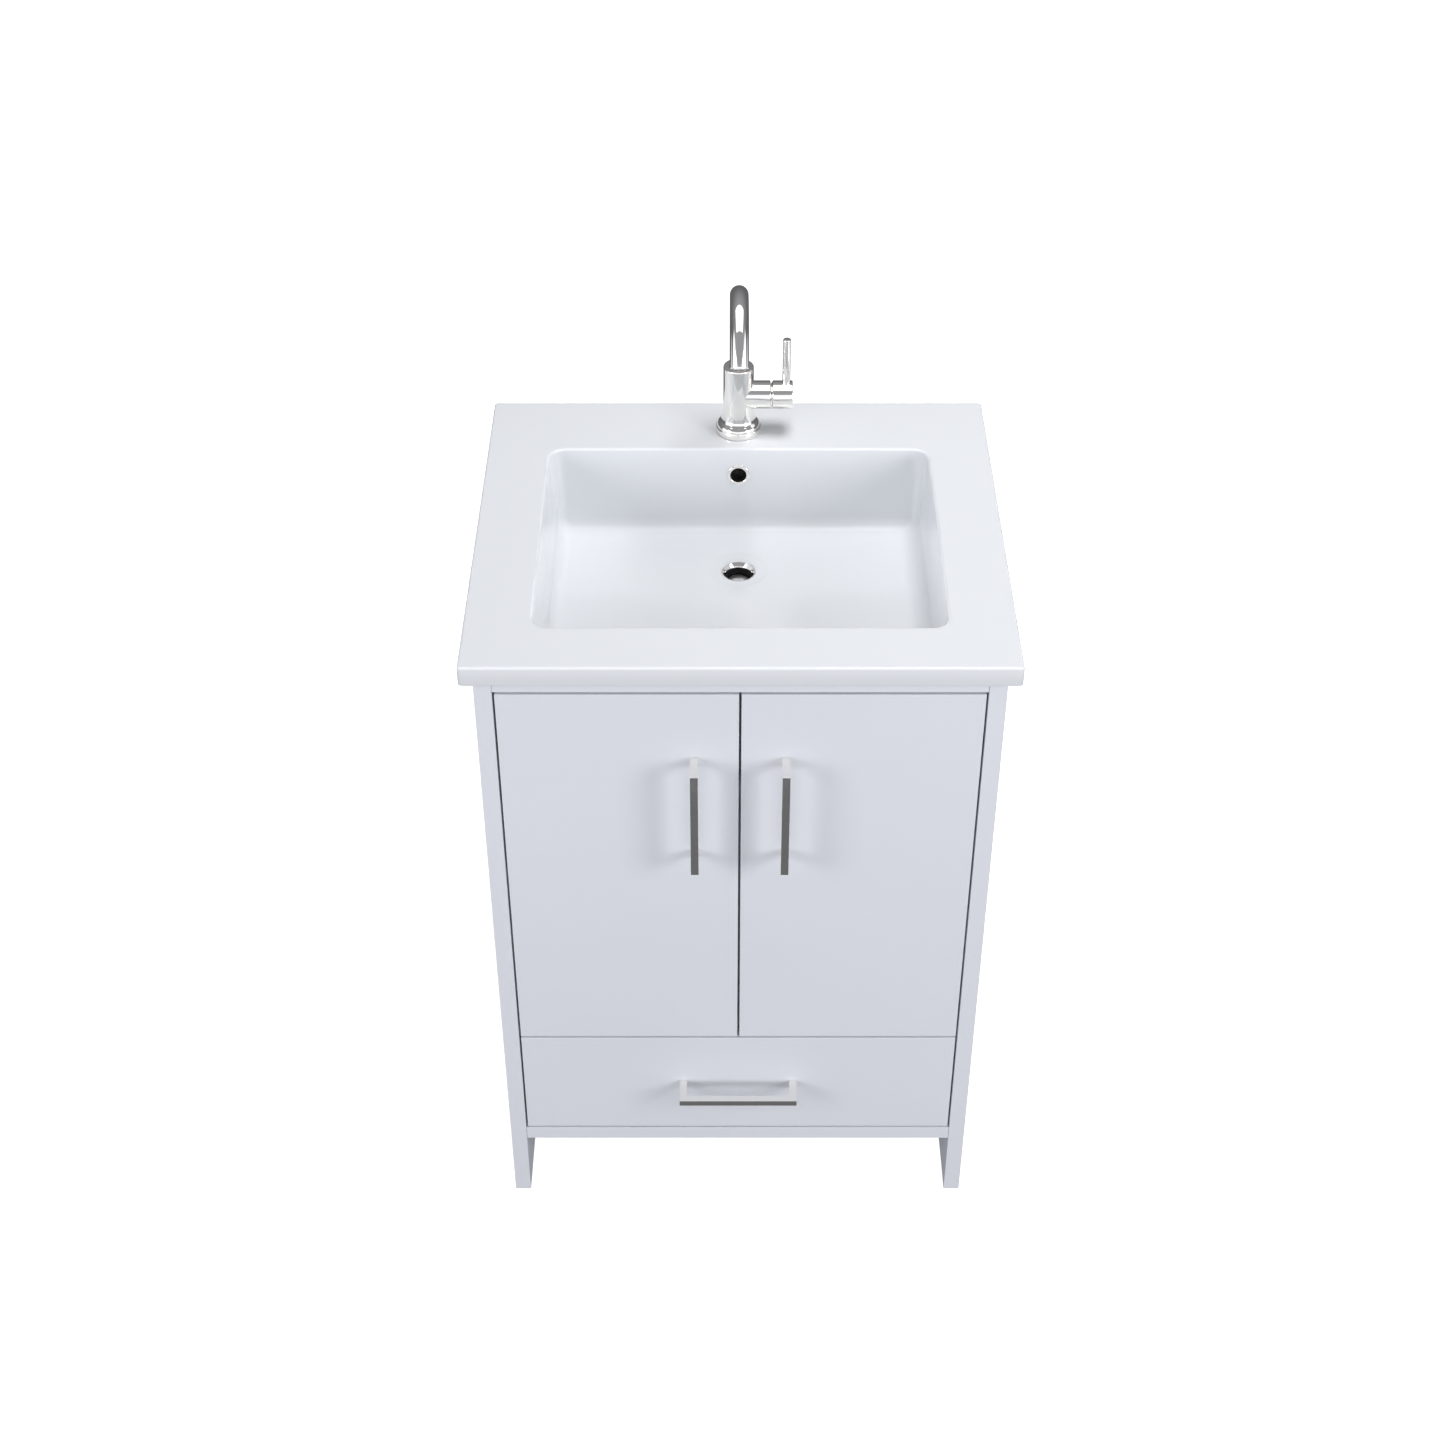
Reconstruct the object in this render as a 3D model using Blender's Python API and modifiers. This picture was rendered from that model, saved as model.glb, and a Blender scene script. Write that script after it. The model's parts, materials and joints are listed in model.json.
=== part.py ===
"""Bathroom vanity cabinet: a white floor-standing cabinet with two inset doors over one inset
drawer, a moulded sink top with a rectangular basin, and a single-hole gooseneck tap.

Metres, +Z up. The origin is on the floor under the middle of the whole object, the front faces -Y,
and left and right are as seen from the front.
"""
import math

import bmesh
import bpy
from mathutils import Vector

# ---------------------------------------------------------------- driving dimensions
GAP = 0.0003                 # clearance between pieces that rest on each other
TOP_WIDTH = 0.610            # sink top
TOP_DEPTH = 0.546
TOP_THICK = 0.0245
TOP_Z = 0.8757               # height of the sink top's upper face
TOP_FRONT = -0.263
TOP_EDGE = 0.003

BOARD = 0.020                # cabinet boards
CARCASS_HALF = 0.291         # half the cabinet's outside width
CARCASS_FRONT = TOP_FRONT + 0.015
CARCASS_BACK = 0.280
FRONT_THICK = 0.018          # doors, drawer front and rails
FLOOR_PANEL_Z = 0.1005
DIVIDER_Z = 0.266
DIVIDER_SETBACK = 0.020
RAIL_Z = 0.831
BACK_THICK = 0.012
BACK_TOP_Z = 0.5505
BACK_RAIL_HEIGHT = 0.080

DOOR_EDGE_X = 0.2686         # outer edges of the doors and the drawer front
DOOR_MIDDLE_X = 0.00135
DOOR_LOW_Z = 0.2897
DOOR_HIGH_Z = 0.828
DRAWER_LOW_Z = 0.1235
DRAWER_HIGH_Z = 0.2867

PULL_LENGTH = 0.146
PULL_SECTION = 0.009
PULL_REACH = 0.035
DOOR_PULL_X = 0.0512
DOOR_PULL_Z = 0.666
DRAWER_PULL_Z = 0.206

BASIN_HALF_X = 0.230         # basin opening at the rim
BASIN_HALF_Y = 0.181
BASIN_Y = -0.0075
BASIN_CORNER = 0.020
BASIN_FILLET = 0.018
BASIN_DRAFT = math.radians(4)
BASIN_FLOOR_Z = 0.767        # floor next to the walls
BASIN_WALL = 0.008
BOWL_UNDER_Z = 0.7515

DRAIN_Y = 0.080
DRAIN_RIM_Z = 0.7605
DISH_RADIUS = 0.0345
FLANGE_RADIUS = 0.020
FLANGE_HEIGHT = 0.004
DRAIN_TUBE_RADIUS = 0.0175
THROAT_RADIUS = 0.016
TAIL_RADIUS = 0.0159
TAIL_BORE = 0.0143
TAIL_TOP_Z = 0.695
TAIL_END_Z = 0.640
CHAMBER_LOW_Z = 0.730        # hollow where the overflow water meets the drain
CHAMBER_HIGH_Z = 0.740
BOSS_LOW_Z = 0.726
DUCT_HALF = 0.020
DUCT_SHELL = 0.003
DUCT_FRONT_Y = 0.180
DUCT_BACK_Y = 0.190
OVERFLOW_Z = 0.8405

TAP_Y = 0.219
TAP_RADIUS = 0.0185
TAP_TOP_Z = 0.9655
SHANK_RADIUS = 0.0165
SHANK_END_Z = 0.800
TAP_BORE = 0.009
VALVE_Z = 0.9255
VALVE_RADIUS = 0.0172
VALVE_END_X = 0.039
HUB_START_X = 0.0396
HUB_END_X = 0.066
LEVER_X = 0.058
LEVER_RADIUS = 0.00485
LEVER_TOP_Z = 1.002
SPOUT_RADIUS = 0.011
SPOUT_BORE = 0.0092
SPOUT_START_Z = 0.9395
ARCH_Z = 1.0250              # centre of the spout's bend
ARCH_RADIUS = 0.062
ARCH_SWEEP = 142             # degrees
TIP_RADIUS = 0.2055          # the slower bend of the last part, down to the outlet
TIP_SWEEP = 9

HINGE_INSET = 0.090          # hinge centres from the doors' ends
PIN_U = 0.018                # hinge pin from the side panel's inner face
PIN_V = 0.008                # hinge pin behind the doors' front face
CUP_U = 0.025
CUP_RADIUS = 0.0175
CUP_DEPTH_V = 0.004          # how near the cup recess comes to the door's front face
ARM_RADIUS = 0.0204
ARM_THICK = 0.0026
ARM_HEIGHT = 0.010
ARM_SWEEP = 110              # degrees
ARM_LINE_U = 0.005
ARM_END_V = 0.078

DRAWER_HALF = 0.258          # outside of the drawer box
DRAWER_SIDE = 0.012
DRAWER_BOX_LOW = 0.141
DRAWER_BOX_HIGH = 0.251
DRAWER_BOX_BACK = 0.2203
DRAWER_BOTTOM_Z = 0.150
DRAWER_BOTTOM_THICK = 0.006
RUNNER_Z = 0.196
RUNNER_METAL = 0.0012
RUNNER_FRONT = -0.2285
RUNNER_BACK = 0.2215

INNER_X = CARCASS_HALF - BOARD               # inner face of the side panels
TOP_UNDER_Z = TOP_Z - TOP_THICK
TOP_BACK = TOP_FRONT + TOP_DEPTH
FRONT_BACK_Y = CARCASS_FRONT + FRONT_THICK   # back face of doors and drawer front
BETWEEN_X = INNER_X - GAP                    # end of a board that fits between the sides
BACK_PANEL_Y = CARCASS_BACK - BACK_THICK
STEPS = 32                                   # facets round a turned piece

# ---------------------------------------------------------------- scene set-up
for old in list(bpy.data.objects):
    bpy.data.objects.remove(old, do_unlink=True)

PARTS = bpy.data.collections.new("vanity_cabinet")
CUTTERS = bpy.data.collections.new("cutters")
bpy.context.scene.collection.children.link(PARTS)
bpy.context.scene.collection.children.link(CUTTERS)


def material(name, colour, roughness, metallic=0.0):
    mat = bpy.data.materials.new(name)
    mat.use_nodes = True
    shader = mat.node_tree.nodes["Principled BSDF"]
    shader.inputs["Base Color"].default_value = (*colour, 1.0)
    shader.inputs["Roughness"].default_value = roughness
    shader.inputs["Metallic"].default_value = metallic
    return mat


PAINT = material("white_paint", (0.72, 0.74, 0.78), 0.35)
BOX_BOARD = material("drawer_board", (0.62, 0.50, 0.36), 0.5)
CERAMIC = material("white_ceramic", (0.82, 0.84, 0.87), 0.12)
CHROME = material("chrome", (0.75, 0.76, 0.78), 0.07, 1.0)
STEEL = material("zinc_steel", (0.55, 0.56, 0.58), 0.3, 1.0)
BRASS = material("brass", (0.70, 0.55, 0.28), 0.3, 1.0)
RUBBER = material("black_rubber", (0.02, 0.02, 0.02), 0.7)
PLASTIC = material("grey_plastic", (0.35, 0.36, 0.38), 0.4)


# ---------------------------------------------------------------- modelling helpers
def pivot(name, location):
    """An empty on a joint's axis. Its pieces are parented to it."""
    empty = bpy.data.objects.new(name, None)
    empty.location = location
    PARTS.objects.link(empty)
    return empty


def place(obj, location, parent=None):
    """Put an object at a world position, under a parent that is not rotated."""
    obj.location = Vector(location)
    if parent:
        obj.parent = parent
        obj.location -= parent.location
    return obj


def mesh_object(name, bm, mat):
    mesh = bpy.data.meshes.new(name)
    bm.to_mesh(mesh)
    bm.free()
    obj = bpy.data.objects.new(name, mesh)
    if mat:
        mesh.materials.append(mat)
        PARTS.objects.link(obj)
    else:
        CUTTERS.objects.link(obj)
        obj.hide_render = True
        obj.display_type = "WIRE"
    return obj


def soften(obj, width, segments=1):
    bevel = obj.modifiers.new("soft_edges", "BEVEL")
    bevel.width = width
    bevel.segments = segments
    bevel.limit_method = "ANGLE"
    bevel.angle_limit = math.radians(40)


def block(name, low, high, mat=None, parent=None, edge=0.0008):
    """A board or bar between two corners, with softened edges. Without a material it is a cutter."""
    low, high = Vector(low), Vector(high)
    bm = bmesh.new()
    bmesh.ops.create_cube(bm, size=1.0)
    bmesh.ops.scale(bm, vec=high - low, verts=bm.verts)
    obj = place(mesh_object(name, bm, mat), (low + high) / 2, parent)
    if mat and edge:
        soften(obj, edge)
    return obj


def rod(name, start, length, radius, axis="Z", mat=None, parent=None, steps=STEPS):
    """A cylinder that runs from start along +X, +Y or +Z. Without a material it is a cutter."""
    bm = bmesh.new()
    bmesh.ops.create_cone(bm, cap_ends=True, segments=steps, radius1=radius, radius2=radius, depth=length)
    bmesh.ops.translate(bm, vec=(0, 0, length / 2), verts=bm.verts)
    obj = place(mesh_object(name, bm, mat), start, parent)
    obj.rotation_euler = {"X": (0, math.pi / 2, 0), "Y": (-math.pi / 2, 0, 0), "Z": (0, 0, 0)}[axis]
    return obj


def turned(name, profile, origin, mat=None, parent=None, ring=False, axis="Z", steps=STEPS):
    """A lathe shape: (radius, height) points that run down the outer side. A ring's profile is a loop."""
    bm = bmesh.new()
    points = [bm.verts.new((radius, 0, height)) for radius, height in profile]
    for first, second in zip(points, points[1:]):
        bm.edges.new((first, second))
    if ring:
        bm.edges.new((points[-1], points[0]))
    obj = place(mesh_object(name, bm, mat), origin, parent)
    obj.rotation_euler = {"X": (0, math.pi / 2, 0), "Y": (-math.pi / 2, 0, 0), "Z": (0, 0, 0)}[axis]
    screw = obj.modifiers.new("turn", "SCREW")
    screw.steps = screw.render_steps = steps
    screw.use_merge_vertices = True
    screw.merge_threshold = 0.00001
    screw.use_smooth_shade = True
    return obj


def outline_plate(name, outlines, height, centre, mat, parent=None, upright=False):
    """A flat outline, with holes as further outlines, extruded along Z, or along Y when upright."""
    curve = bpy.data.curves.new(name, "CURVE")
    curve.dimensions = "2D"
    curve.fill_mode = "BOTH"
    curve.extrude = height / 2
    for outline in outlines:
        spline = curve.splines.new("POLY")
        spline.points.add(len(outline) - 1)
        for point, (x, y) in zip(spline.points, outline):
            point.co = (x, y, 0, 1)
        spline.use_cyclic_u = True
    curve.materials.append(mat)
    obj = bpy.data.objects.new(name, curve)
    PARTS.objects.link(obj)
    if upright:
        obj.rotation_euler = (math.pi / 2, 0, 0)
    return place(obj, centre, parent)


def tube(name, points, radius, mat=None, parent=None):
    """A round bar along a path of world points, as a mesh, so that it can be cut or be a cutter."""
    origin = parent.location if parent else Vector((0, 0, 0))
    curve = bpy.data.curves.new(name + "_path", "CURVE")
    curve.dimensions = "3D"
    curve.bevel_depth = radius
    curve.bevel_resolution = 4
    curve.use_fill_caps = True
    spline = curve.splines.new("POLY")
    spline.points.add(len(points) - 1)
    for point, position in zip(spline.points, points):
        point.co = (*(Vector(position) - origin), 1)
    guide = bpy.data.objects.new(name + "_path", curve)
    CUTTERS.objects.link(guide)
    bpy.context.view_layer.update()
    evaluated = guide.evaluated_get(bpy.context.evaluated_depsgraph_get())
    mesh = bpy.data.meshes.new_from_object(evaluated)
    bpy.data.objects.remove(guide, do_unlink=True)
    bm = bmesh.new()
    bm.from_mesh(mesh)
    bpy.data.meshes.remove(mesh)
    bmesh.ops.remove_doubles(bm, verts=bm.verts, dist=0.00001)
    return place(mesh_object(name, bm, mat), origin, parent)


def boolean(obj, other, operation):
    modifier = obj.modifiers.new(operation.lower() + "_" + other.name, "BOOLEAN")
    modifier.operation = operation
    modifier.object = other


def cut(obj, *others):
    for other in others:
        boolean(obj, other, "DIFFERENCE")


def join(obj, *others):
    for other in others:
        boolean(obj, other, "UNION")


# ---------------------------------------------------------------- cabinet
def side_panels():
    for side, sign in (("left", -1), ("right", 1)):
        inner, outer = sorted((sign * INNER_X, sign * CARCASS_HALF))
        low = (inner, CARCASS_FRONT, 0)
        high = (outer, CARCASS_BACK, TOP_UNDER_Z - GAP)
        block(side + "_side_panel", low, high, PAINT)


def cross_boards():
    """The boards between the sides: floor, divider, the rails under the sink top, and the back."""
    inner_back = BACK_PANEL_Y - GAP
    block("floor_panel", (-BETWEEN_X, CARCASS_FRONT, FLOOR_PANEL_Z),
          (BETWEEN_X, inner_back, FLOOR_PANEL_Z + BOARD), PAINT)
    block("divider_panel", (-BETWEEN_X, CARCASS_FRONT + DIVIDER_SETBACK, DIVIDER_Z),
          (BETWEEN_X, inner_back, DIVIDER_Z + BOARD), PAINT)
    block("top_front_rail", (-BETWEEN_X, CARCASS_FRONT, RAIL_Z),
          (BETWEEN_X, FRONT_BACK_Y, TOP_UNDER_Z - GAP), PAINT)
    block("top_back_rail", (-BETWEEN_X, CARCASS_BACK - FRONT_THICK, TOP_UNDER_Z - GAP - BACK_RAIL_HEIGHT),
          (BETWEEN_X, CARCASS_BACK, TOP_UNDER_Z - GAP), PAINT)
    block("back_panel", (-BETWEEN_X, BACK_PANEL_Y, FLOOR_PANEL_Z),
          (BETWEEN_X, CARCASS_BACK, BACK_TOP_Z), PAINT)


# ---------------------------------------------------------------- sink top
def pan(name, grow, z_top, z_floor, z_middle, corner, fillet):
    """The basin's form as a solid: walls that lean by the draft, round corners, a floor that falls
    from z_floor at the walls to z_middle at the drain. It is BASIN_ at the rim, plus grow."""
    bm = bmesh.new()
    bmesh.ops.create_cube(bm, size=1.0)
    for vert in bm.verts:
        z = z_top if vert.co.z > 0 else z_floor
        lean = (z - TOP_Z) * math.tan(BASIN_DRAFT) + grow
        vert.co.x = math.copysign(BASIN_HALF_X + lean, vert.co.x)
        vert.co.y = BASIN_Y + math.copysign(BASIN_HALF_Y + lean, vert.co.y)
        vert.co.z = z
    middle_z = (z_top + z_floor) / 2
    upright = [e for e in bm.edges if min(v.co.z for v in e.verts) < middle_z < max(v.co.z for v in e.verts)]
    bmesh.ops.bevel(bm, geom=upright, offset=corner, segments=4, profile=0.5, affect="EDGES")
    bottom = [e for e in bm.edges if max(v.co.z for v in e.verts) < middle_z]
    bmesh.ops.bevel(bm, geom=bottom, offset=fillet, segments=4, profile=0.5, affect="EDGES")
    floor = min(bm.faces, key=lambda face: face.calc_center_median().z)
    centre = bmesh.ops.poke(bm, faces=[floor])["verts"][0]
    centre.co = (0, DRAIN_Y, z_middle)
    return mesh_object(name, bm, None)


def sink_top():
    top = block("sink_top", (-TOP_WIDTH / 2, TOP_FRONT, TOP_UNDER_Z), (TOP_WIDTH / 2, TOP_BACK, TOP_Z),
                CERAMIC, edge=0)
    soften(top, TOP_EDGE, 2)
    join(top, pan("bowl_form", BASIN_WALL, TOP_Z - TOP_EDGE, BOWL_UNDER_Z, BOWL_UNDER_Z,
                  BASIN_CORNER + BASIN_WALL, BASIN_FILLET + BASIN_WALL / 2))
    outer = DUCT_HALF + DUCT_SHELL
    duct_back = DUCT_BACK_Y + DUCT_SHELL
    join(top,
         block("duct_form", (-outer, BASIN_HALF_Y - BASIN_WALL, BOSS_LOW_Z), (outer, duct_back, TOP_UNDER_Z + 0.004)),
         block("channel_form", (-outer, DRAIN_Y, BOSS_LOW_Z), (outer, duct_back - 0.0005, BOWL_UNDER_Z + 0.002)),
         rod("boss_form", (0, DRAIN_Y, BOSS_LOW_Z), BOWL_UNDER_Z + 0.003 - BOSS_LOW_Z, 0.027))
    cut(top, pan("basin_form", 0, TOP_Z + 0.010, BASIN_FLOOR_Z, DRAIN_RIM_Z + 0.0015, BASIN_CORNER, BASIN_FILLET))
    dish = ((0, 0.004), (DISH_RADIUS + 0.004, 0.004), (DISH_RADIUS, 0.0022), (FLANGE_RADIUS + 0.006, 0.0005),
            (FLANGE_RADIUS, 0), (0, 0))
    cut(top,
        turned("dish_cut", dish, (0, DRAIN_Y, DRAIN_RIM_Z)),
        rod("flange_cut", (0, DRAIN_Y, DRAIN_RIM_Z - FLANGE_HEIGHT - GAP), FLANGE_HEIGHT + 0.010,
            FLANGE_RADIUS + GAP),
        rod("drain_cut", (0, DRAIN_Y, BOSS_LOW_Z - 0.010), 0.060, DRAIN_TUBE_RADIUS + GAP),
        rod("chamber_cut", (0, DRAIN_Y, CHAMBER_LOW_Z), CHAMBER_HIGH_Z - CHAMBER_LOW_Z, 0.0225),
        block("channel_cut", (-DUCT_HALF, DRAIN_Y, CHAMBER_LOW_Z + 0.0004),
              (DUCT_HALF, DUCT_BACK_Y - 0.001, CHAMBER_HIGH_Z - 0.0004)),
        block("duct_cut", (-DUCT_HALF + 0.001, DUCT_FRONT_Y, CHAMBER_LOW_Z + 0.001),
              (DUCT_HALF - 0.001, DUCT_BACK_Y, TOP_UNDER_Z)),
        rod("overflow_cut", (0, 0.160, OVERFLOW_Z), 0.025, 0.0129, "Y"),
        rod("tap_cut", (0, TAP_Y, TOP_UNDER_Z - 0.010), 0.060, SHANK_RADIUS + 0.001))


def overflow_ring():
    """A pressed ring in the basin's back wall. It leans with the wall."""
    wall_y = BASIN_Y + BASIN_HALF_Y + (OVERFLOW_Z - TOP_Z) * math.tan(BASIN_DRAFT)
    profile = ((0.0096, 0.0075), (0.0120, 0.0075), (0.0120, -0.0003), (0.0139, -0.0003), (0.0139, -0.0010),
               (0.0132, -0.0020), (0.0104, -0.0020), (0.0096, -0.0012))
    ring = turned("overflow_ring", profile, (0, wall_y, OVERFLOW_Z), CHROME, ring=True, axis="Y")
    ring.rotation_euler.x -= BASIN_DRAFT


# ---------------------------------------------------------------- drain
def drain():
    rim = DRAIN_RIM_Z
    profile = ((0.0194, rim), (FLANGE_RADIUS, rim), (FLANGE_RADIUS, rim - FLANGE_HEIGHT),
               (DRAIN_TUBE_RADIUS, rim - FLANGE_HEIGHT), (DRAIN_TUBE_RADIUS, TAIL_TOP_Z),
               (TAIL_RADIUS, TAIL_TOP_Z - 0.002), (TAIL_RADIUS, TAIL_END_Z), (TAIL_BORE, TAIL_END_Z),
               (TAIL_BORE, TAIL_TOP_Z - 0.002), (THROAT_RADIUS, TAIL_TOP_Z + 0.002), (THROAT_RADIUS, rim - 0.0053))
    body = turned("drain_body", profile, (0, DRAIN_Y, 0), CHROME, ring=True)
    slot = (CHAMBER_LOW_Z + 0.001, CHAMBER_HIGH_Z - 0.001)
    cut(body,
        block("slot_cut_x", (-0.020, DRAIN_Y - 0.006, slot[0]), (0.020, DRAIN_Y + 0.006, slot[1])),
        block("slot_cut_y", (-0.006, DRAIN_Y - 0.020, slot[0]), (0.006, DRAIN_Y + 0.020, slot[1])))
    join(body, block("spider_form", (-0.0165, DRAIN_Y - 0.003, 0.705), (0.0165, DRAIN_Y + 0.003, 0.709)))
    cut(body, rod("stem_cut", (0, DRAIN_Y, 0.700), 0.014, 0.0023, steps=12))

    seal = ((0.0180, 0.0030), (0.0258, 0.0030), (0.0258, 0), (0.0180, 0))
    turned("drain_seal", seal, (0, DRAIN_Y, BOSS_LOW_Z - GAP - 0.003), RUBBER, ring=True)
    nut_top = BOSS_LOW_Z - 2 * GAP - 0.003
    nut = rod("drain_locknut", (0, DRAIN_Y, nut_top - 0.012), 0.012, 0.028, mat=BRASS, steps=6)
    cut(nut, rod("drain_nut_cut", (0, DRAIN_Y, nut_top - 0.014), 0.020, DRAIN_TUBE_RADIUS + GAP))

    lift = pivot("stopper_axis", (0, DRAIN_Y, rim - 0.015))
    cap = ((0, 0.0018), (0.0060, 0.0015), (0.0110, 0.0008), (0.0138, 0), (0.0146, -0.0008), (0.0146, -0.0030),
           (0.0020, -0.0036), (0.0020, -0.0400), (0, -0.0400))
    turned("drain_stopper", cap, lift.location, CHROME, lift)


# ---------------------------------------------------------------- tap
def tap_body():
    deck = TOP_Z
    bell = ((0.0188, 0.0266), (0.0200, 0.0182), (0.0216, 0.0158), (0.0239, 0.0138), (0.0255, 0.0118),
            (0.0263, 0.0098), (0.0265, 0.0083), (0.0275, 0.0076))
    profile = [(0, TAP_TOP_Z), (TAP_RADIUS - 0.0010, TAP_TOP_Z), (TAP_RADIUS, TAP_TOP_Z - 0.0010),
               (TAP_RADIUS, deck + 0.031)]
    profile += [(radius, deck + height) for radius, height in bell]
    profile += [(0.0275, deck + 0.0012), (0.0268, deck + GAP), (0.0252, deck + GAP), (0.0252, deck + 0.0018),
                (SHANK_RADIUS, deck + 0.0018), (SHANK_RADIUS, SHANK_END_Z), (0, SHANK_END_Z)]
    body = turned("tap_body", profile, (0, TAP_Y, 0), CHROME)
    barrel = ((0, VALVE_END_X), (VALVE_RADIUS - 0.0010, VALVE_END_X), (VALVE_RADIUS, VALVE_END_X - 0.0010),
              (VALVE_RADIUS, 0.001), (0, 0.001))
    join(body, turned("barrel_form", barrel, (0, TAP_Y, VALVE_Z), axis="X"))
    cut(body,
        rod("socket_cut", (0, TAP_Y, SPOUT_START_Z - 0.001), 0.040, SPOUT_RADIUS + GAP),
        rod("waterway_cut", (0, TAP_Y, SHANK_END_Z - 0.010), 0.160, TAP_BORE),
        rod("port_cut", (0.0021, TAP_Y, VALVE_Z), 0.0140, 0.0060, "X", steps=20),
        rod("cartridge_cut", (0.0155, TAP_Y, VALVE_Z), 0.030, 0.0140, "X"))

    seal = ((0.0172, 0.0014), (0.0248, 0.0014), (0.0248, 0), (0.0172, 0))
    turned("tap_base_seal", seal, (0, TAP_Y, deck + 0.0002), RUBBER, ring=True)
    nut = rod("tap_locknut", (0, TAP_Y, TOP_UNDER_Z - GAP - 0.014), 0.014, 0.023, mat=BRASS, steps=6)
    cut(nut, rod("tap_nut_cut", (0, TAP_Y, TOP_UNDER_Z - 0.020), 0.030, SHANK_RADIUS + GAP))

    cartridge = ((0, 0.0490), (0.0045, 0.0490), (0.0049, 0.0486), (0.0049, 0.0388), (0.0110, 0.0386),
                 (0.0136, 0.0376), (0.0136, 0.0160), (0, 0.0160))
    turned("tap_cartridge", cartridge, (0, TAP_Y, VALVE_Z), PLASTIC, axis="X")


def spout_bend(radius, centre, start, sweep, steps):
    """Points of a bend in the plane X = 0. The angle is 0 behind its centre and 90 above it."""
    points = []
    for step in range(steps + 1):
        angle = math.radians(start + sweep * step / steps)
        points.append(Vector((0, centre.y + radius * math.cos(angle), centre.z + radius * math.sin(angle))))
    return points


def tap_spout():
    """The gooseneck turns on the tap body's vertical axis. Its outlet points down and forwards."""
    swivel = pivot("spout_axis", (0, TAP_Y, TAP_TOP_Z))
    centre = Vector((0, TAP_Y - ARCH_RADIUS, ARCH_Z))
    arch = spout_bend(ARCH_RADIUS, centre, 0, ARCH_SWEEP, 16)
    tip_centre = arch[-1] + (centre - arch[-1]) * (TIP_RADIUS / ARCH_RADIUS)
    arch += spout_bend(TIP_RADIUS, tip_centre, ARCH_SWEEP, TIP_SWEEP, 3)[1:]
    outlet = arch[-1]
    lean = math.radians(180 - ARCH_SWEEP - TIP_SWEEP)
    onward = Vector((0, -math.sin(lean), -math.cos(lean))) * 0.002
    outer = tube("tap_spout", [(0, TAP_Y, SPOUT_START_Z), *arch], SPOUT_RADIUS, CHROME, swivel)
    cut(outer, tube("spout_bore", [(0, TAP_Y, SPOUT_START_Z - 0.002), *arch, outlet + onward], SPOUT_BORE))
    insert = ((0, 0.0070), (0.0086, 0.0070), (0.0086, 0.0003), (0.0070, 0.0003), (0.0066, 0.0012), (0, 0.0012))
    aerator = turned("spout_aerator", insert, outlet, PLASTIC, swivel, steps=24)
    aerator.rotation_euler.x = -lean


def tap_lever():
    """The hub and its rod turn on the side valve's horizontal axis."""
    turn = pivot("lever_axis", (HUB_START_X, TAP_Y, VALVE_Z))
    length = HUB_END_X - HUB_START_X
    profile = ((0, length), (VALVE_RADIUS - 0.0010, length), (VALVE_RADIUS, length - 0.0010),
               (VALVE_RADIUS, 0.0028), (VALVE_RADIUS - 0.0010, 0.0018), (0.0145, 0.0014), (0.0145, 0), (0, 0))
    hub = turned("tap_hub", profile, turn.location, CHROME, turn, axis="X")
    cut(hub,
        rod("spindle_cut", (HUB_START_X - 0.002, TAP_Y, VALVE_Z), 0.0130, 0.0053, "X", steps=16),
        rod("rod_cut", (LEVER_X, TAP_Y, VALVE_Z + 0.0080), 0.020, LEVER_RADIUS + GAP, steps=16))
    rod_low = VALVE_Z + 0.0084
    rod_length = LEVER_TOP_Z - rod_low
    rod_profile = ((0, rod_length), (LEVER_RADIUS - 0.0008, rod_length), (LEVER_RADIUS, rod_length - 0.0008),
                   (LEVER_RADIUS, 0), (0, 0))
    turned("tap_lever", rod_profile, (LEVER_X, TAP_Y, rod_low), CHROME, turn, steps=20)


# ---------------------------------------------------------------- doors
def hinge_point(sign, u, v):
    """World X and Y of a point u in from a side panel's inner face and v behind the cabinet's front."""
    return sign * (INNER_X - u), CARCASS_FRONT + v


def arm_outline(sign):
    """The gooseneck arm seen from above: a knuckle on the pin, a leg across the cup, an arc round the
    pin that lets the door's edge swing past, and a straight run along the side panel."""
    half = ARM_THICK / 2
    knuckle = 0.0025
    blend = math.asin(half / knuckle)
    path = [Vector((PIN_U, PIN_V)), Vector((PIN_U + ARM_RADIUS, PIN_V))]
    for step in range(1, 12):
        angle = math.radians(ARM_SWEEP * step / 11)
        path.append(Vector((PIN_U + ARM_RADIUS * math.cos(angle), PIN_V + ARM_RADIUS * math.sin(angle))))
    path += [Vector((ARM_LINE_U, 0.036)), Vector((ARM_LINE_U, ARM_END_V))]
    near, far = [], []
    for index in range(1, len(path)):
        before = (path[index] - path[index - 1]).normalized()
        after = (path[index + 1] - path[index]).normalized() if index + 1 < len(path) else before
        normal = Vector((before.y + after.y, -before.x - after.x)).normalized()
        reach = half / normal.dot(Vector((before.y, -before.x)))
        near.append(path[index] + normal * reach)
        far.append(path[index] - normal * reach)
    ring = []
    for step in range(11):
        angle = blend + (2 * math.pi - 2 * blend) * step / 10
        ring.append(path[0] + knuckle * Vector((math.cos(angle), math.sin(angle))))
    hole = [path[0] + 0.0015 * Vector((math.cos(a), math.sin(a))) for a in (math.pi * i / 6 for i in range(12))]
    outlines = (ring + near + far[::-1], hole)
    return [[hinge_point(sign, *point) for point in outline] for outline in outlines]


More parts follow.
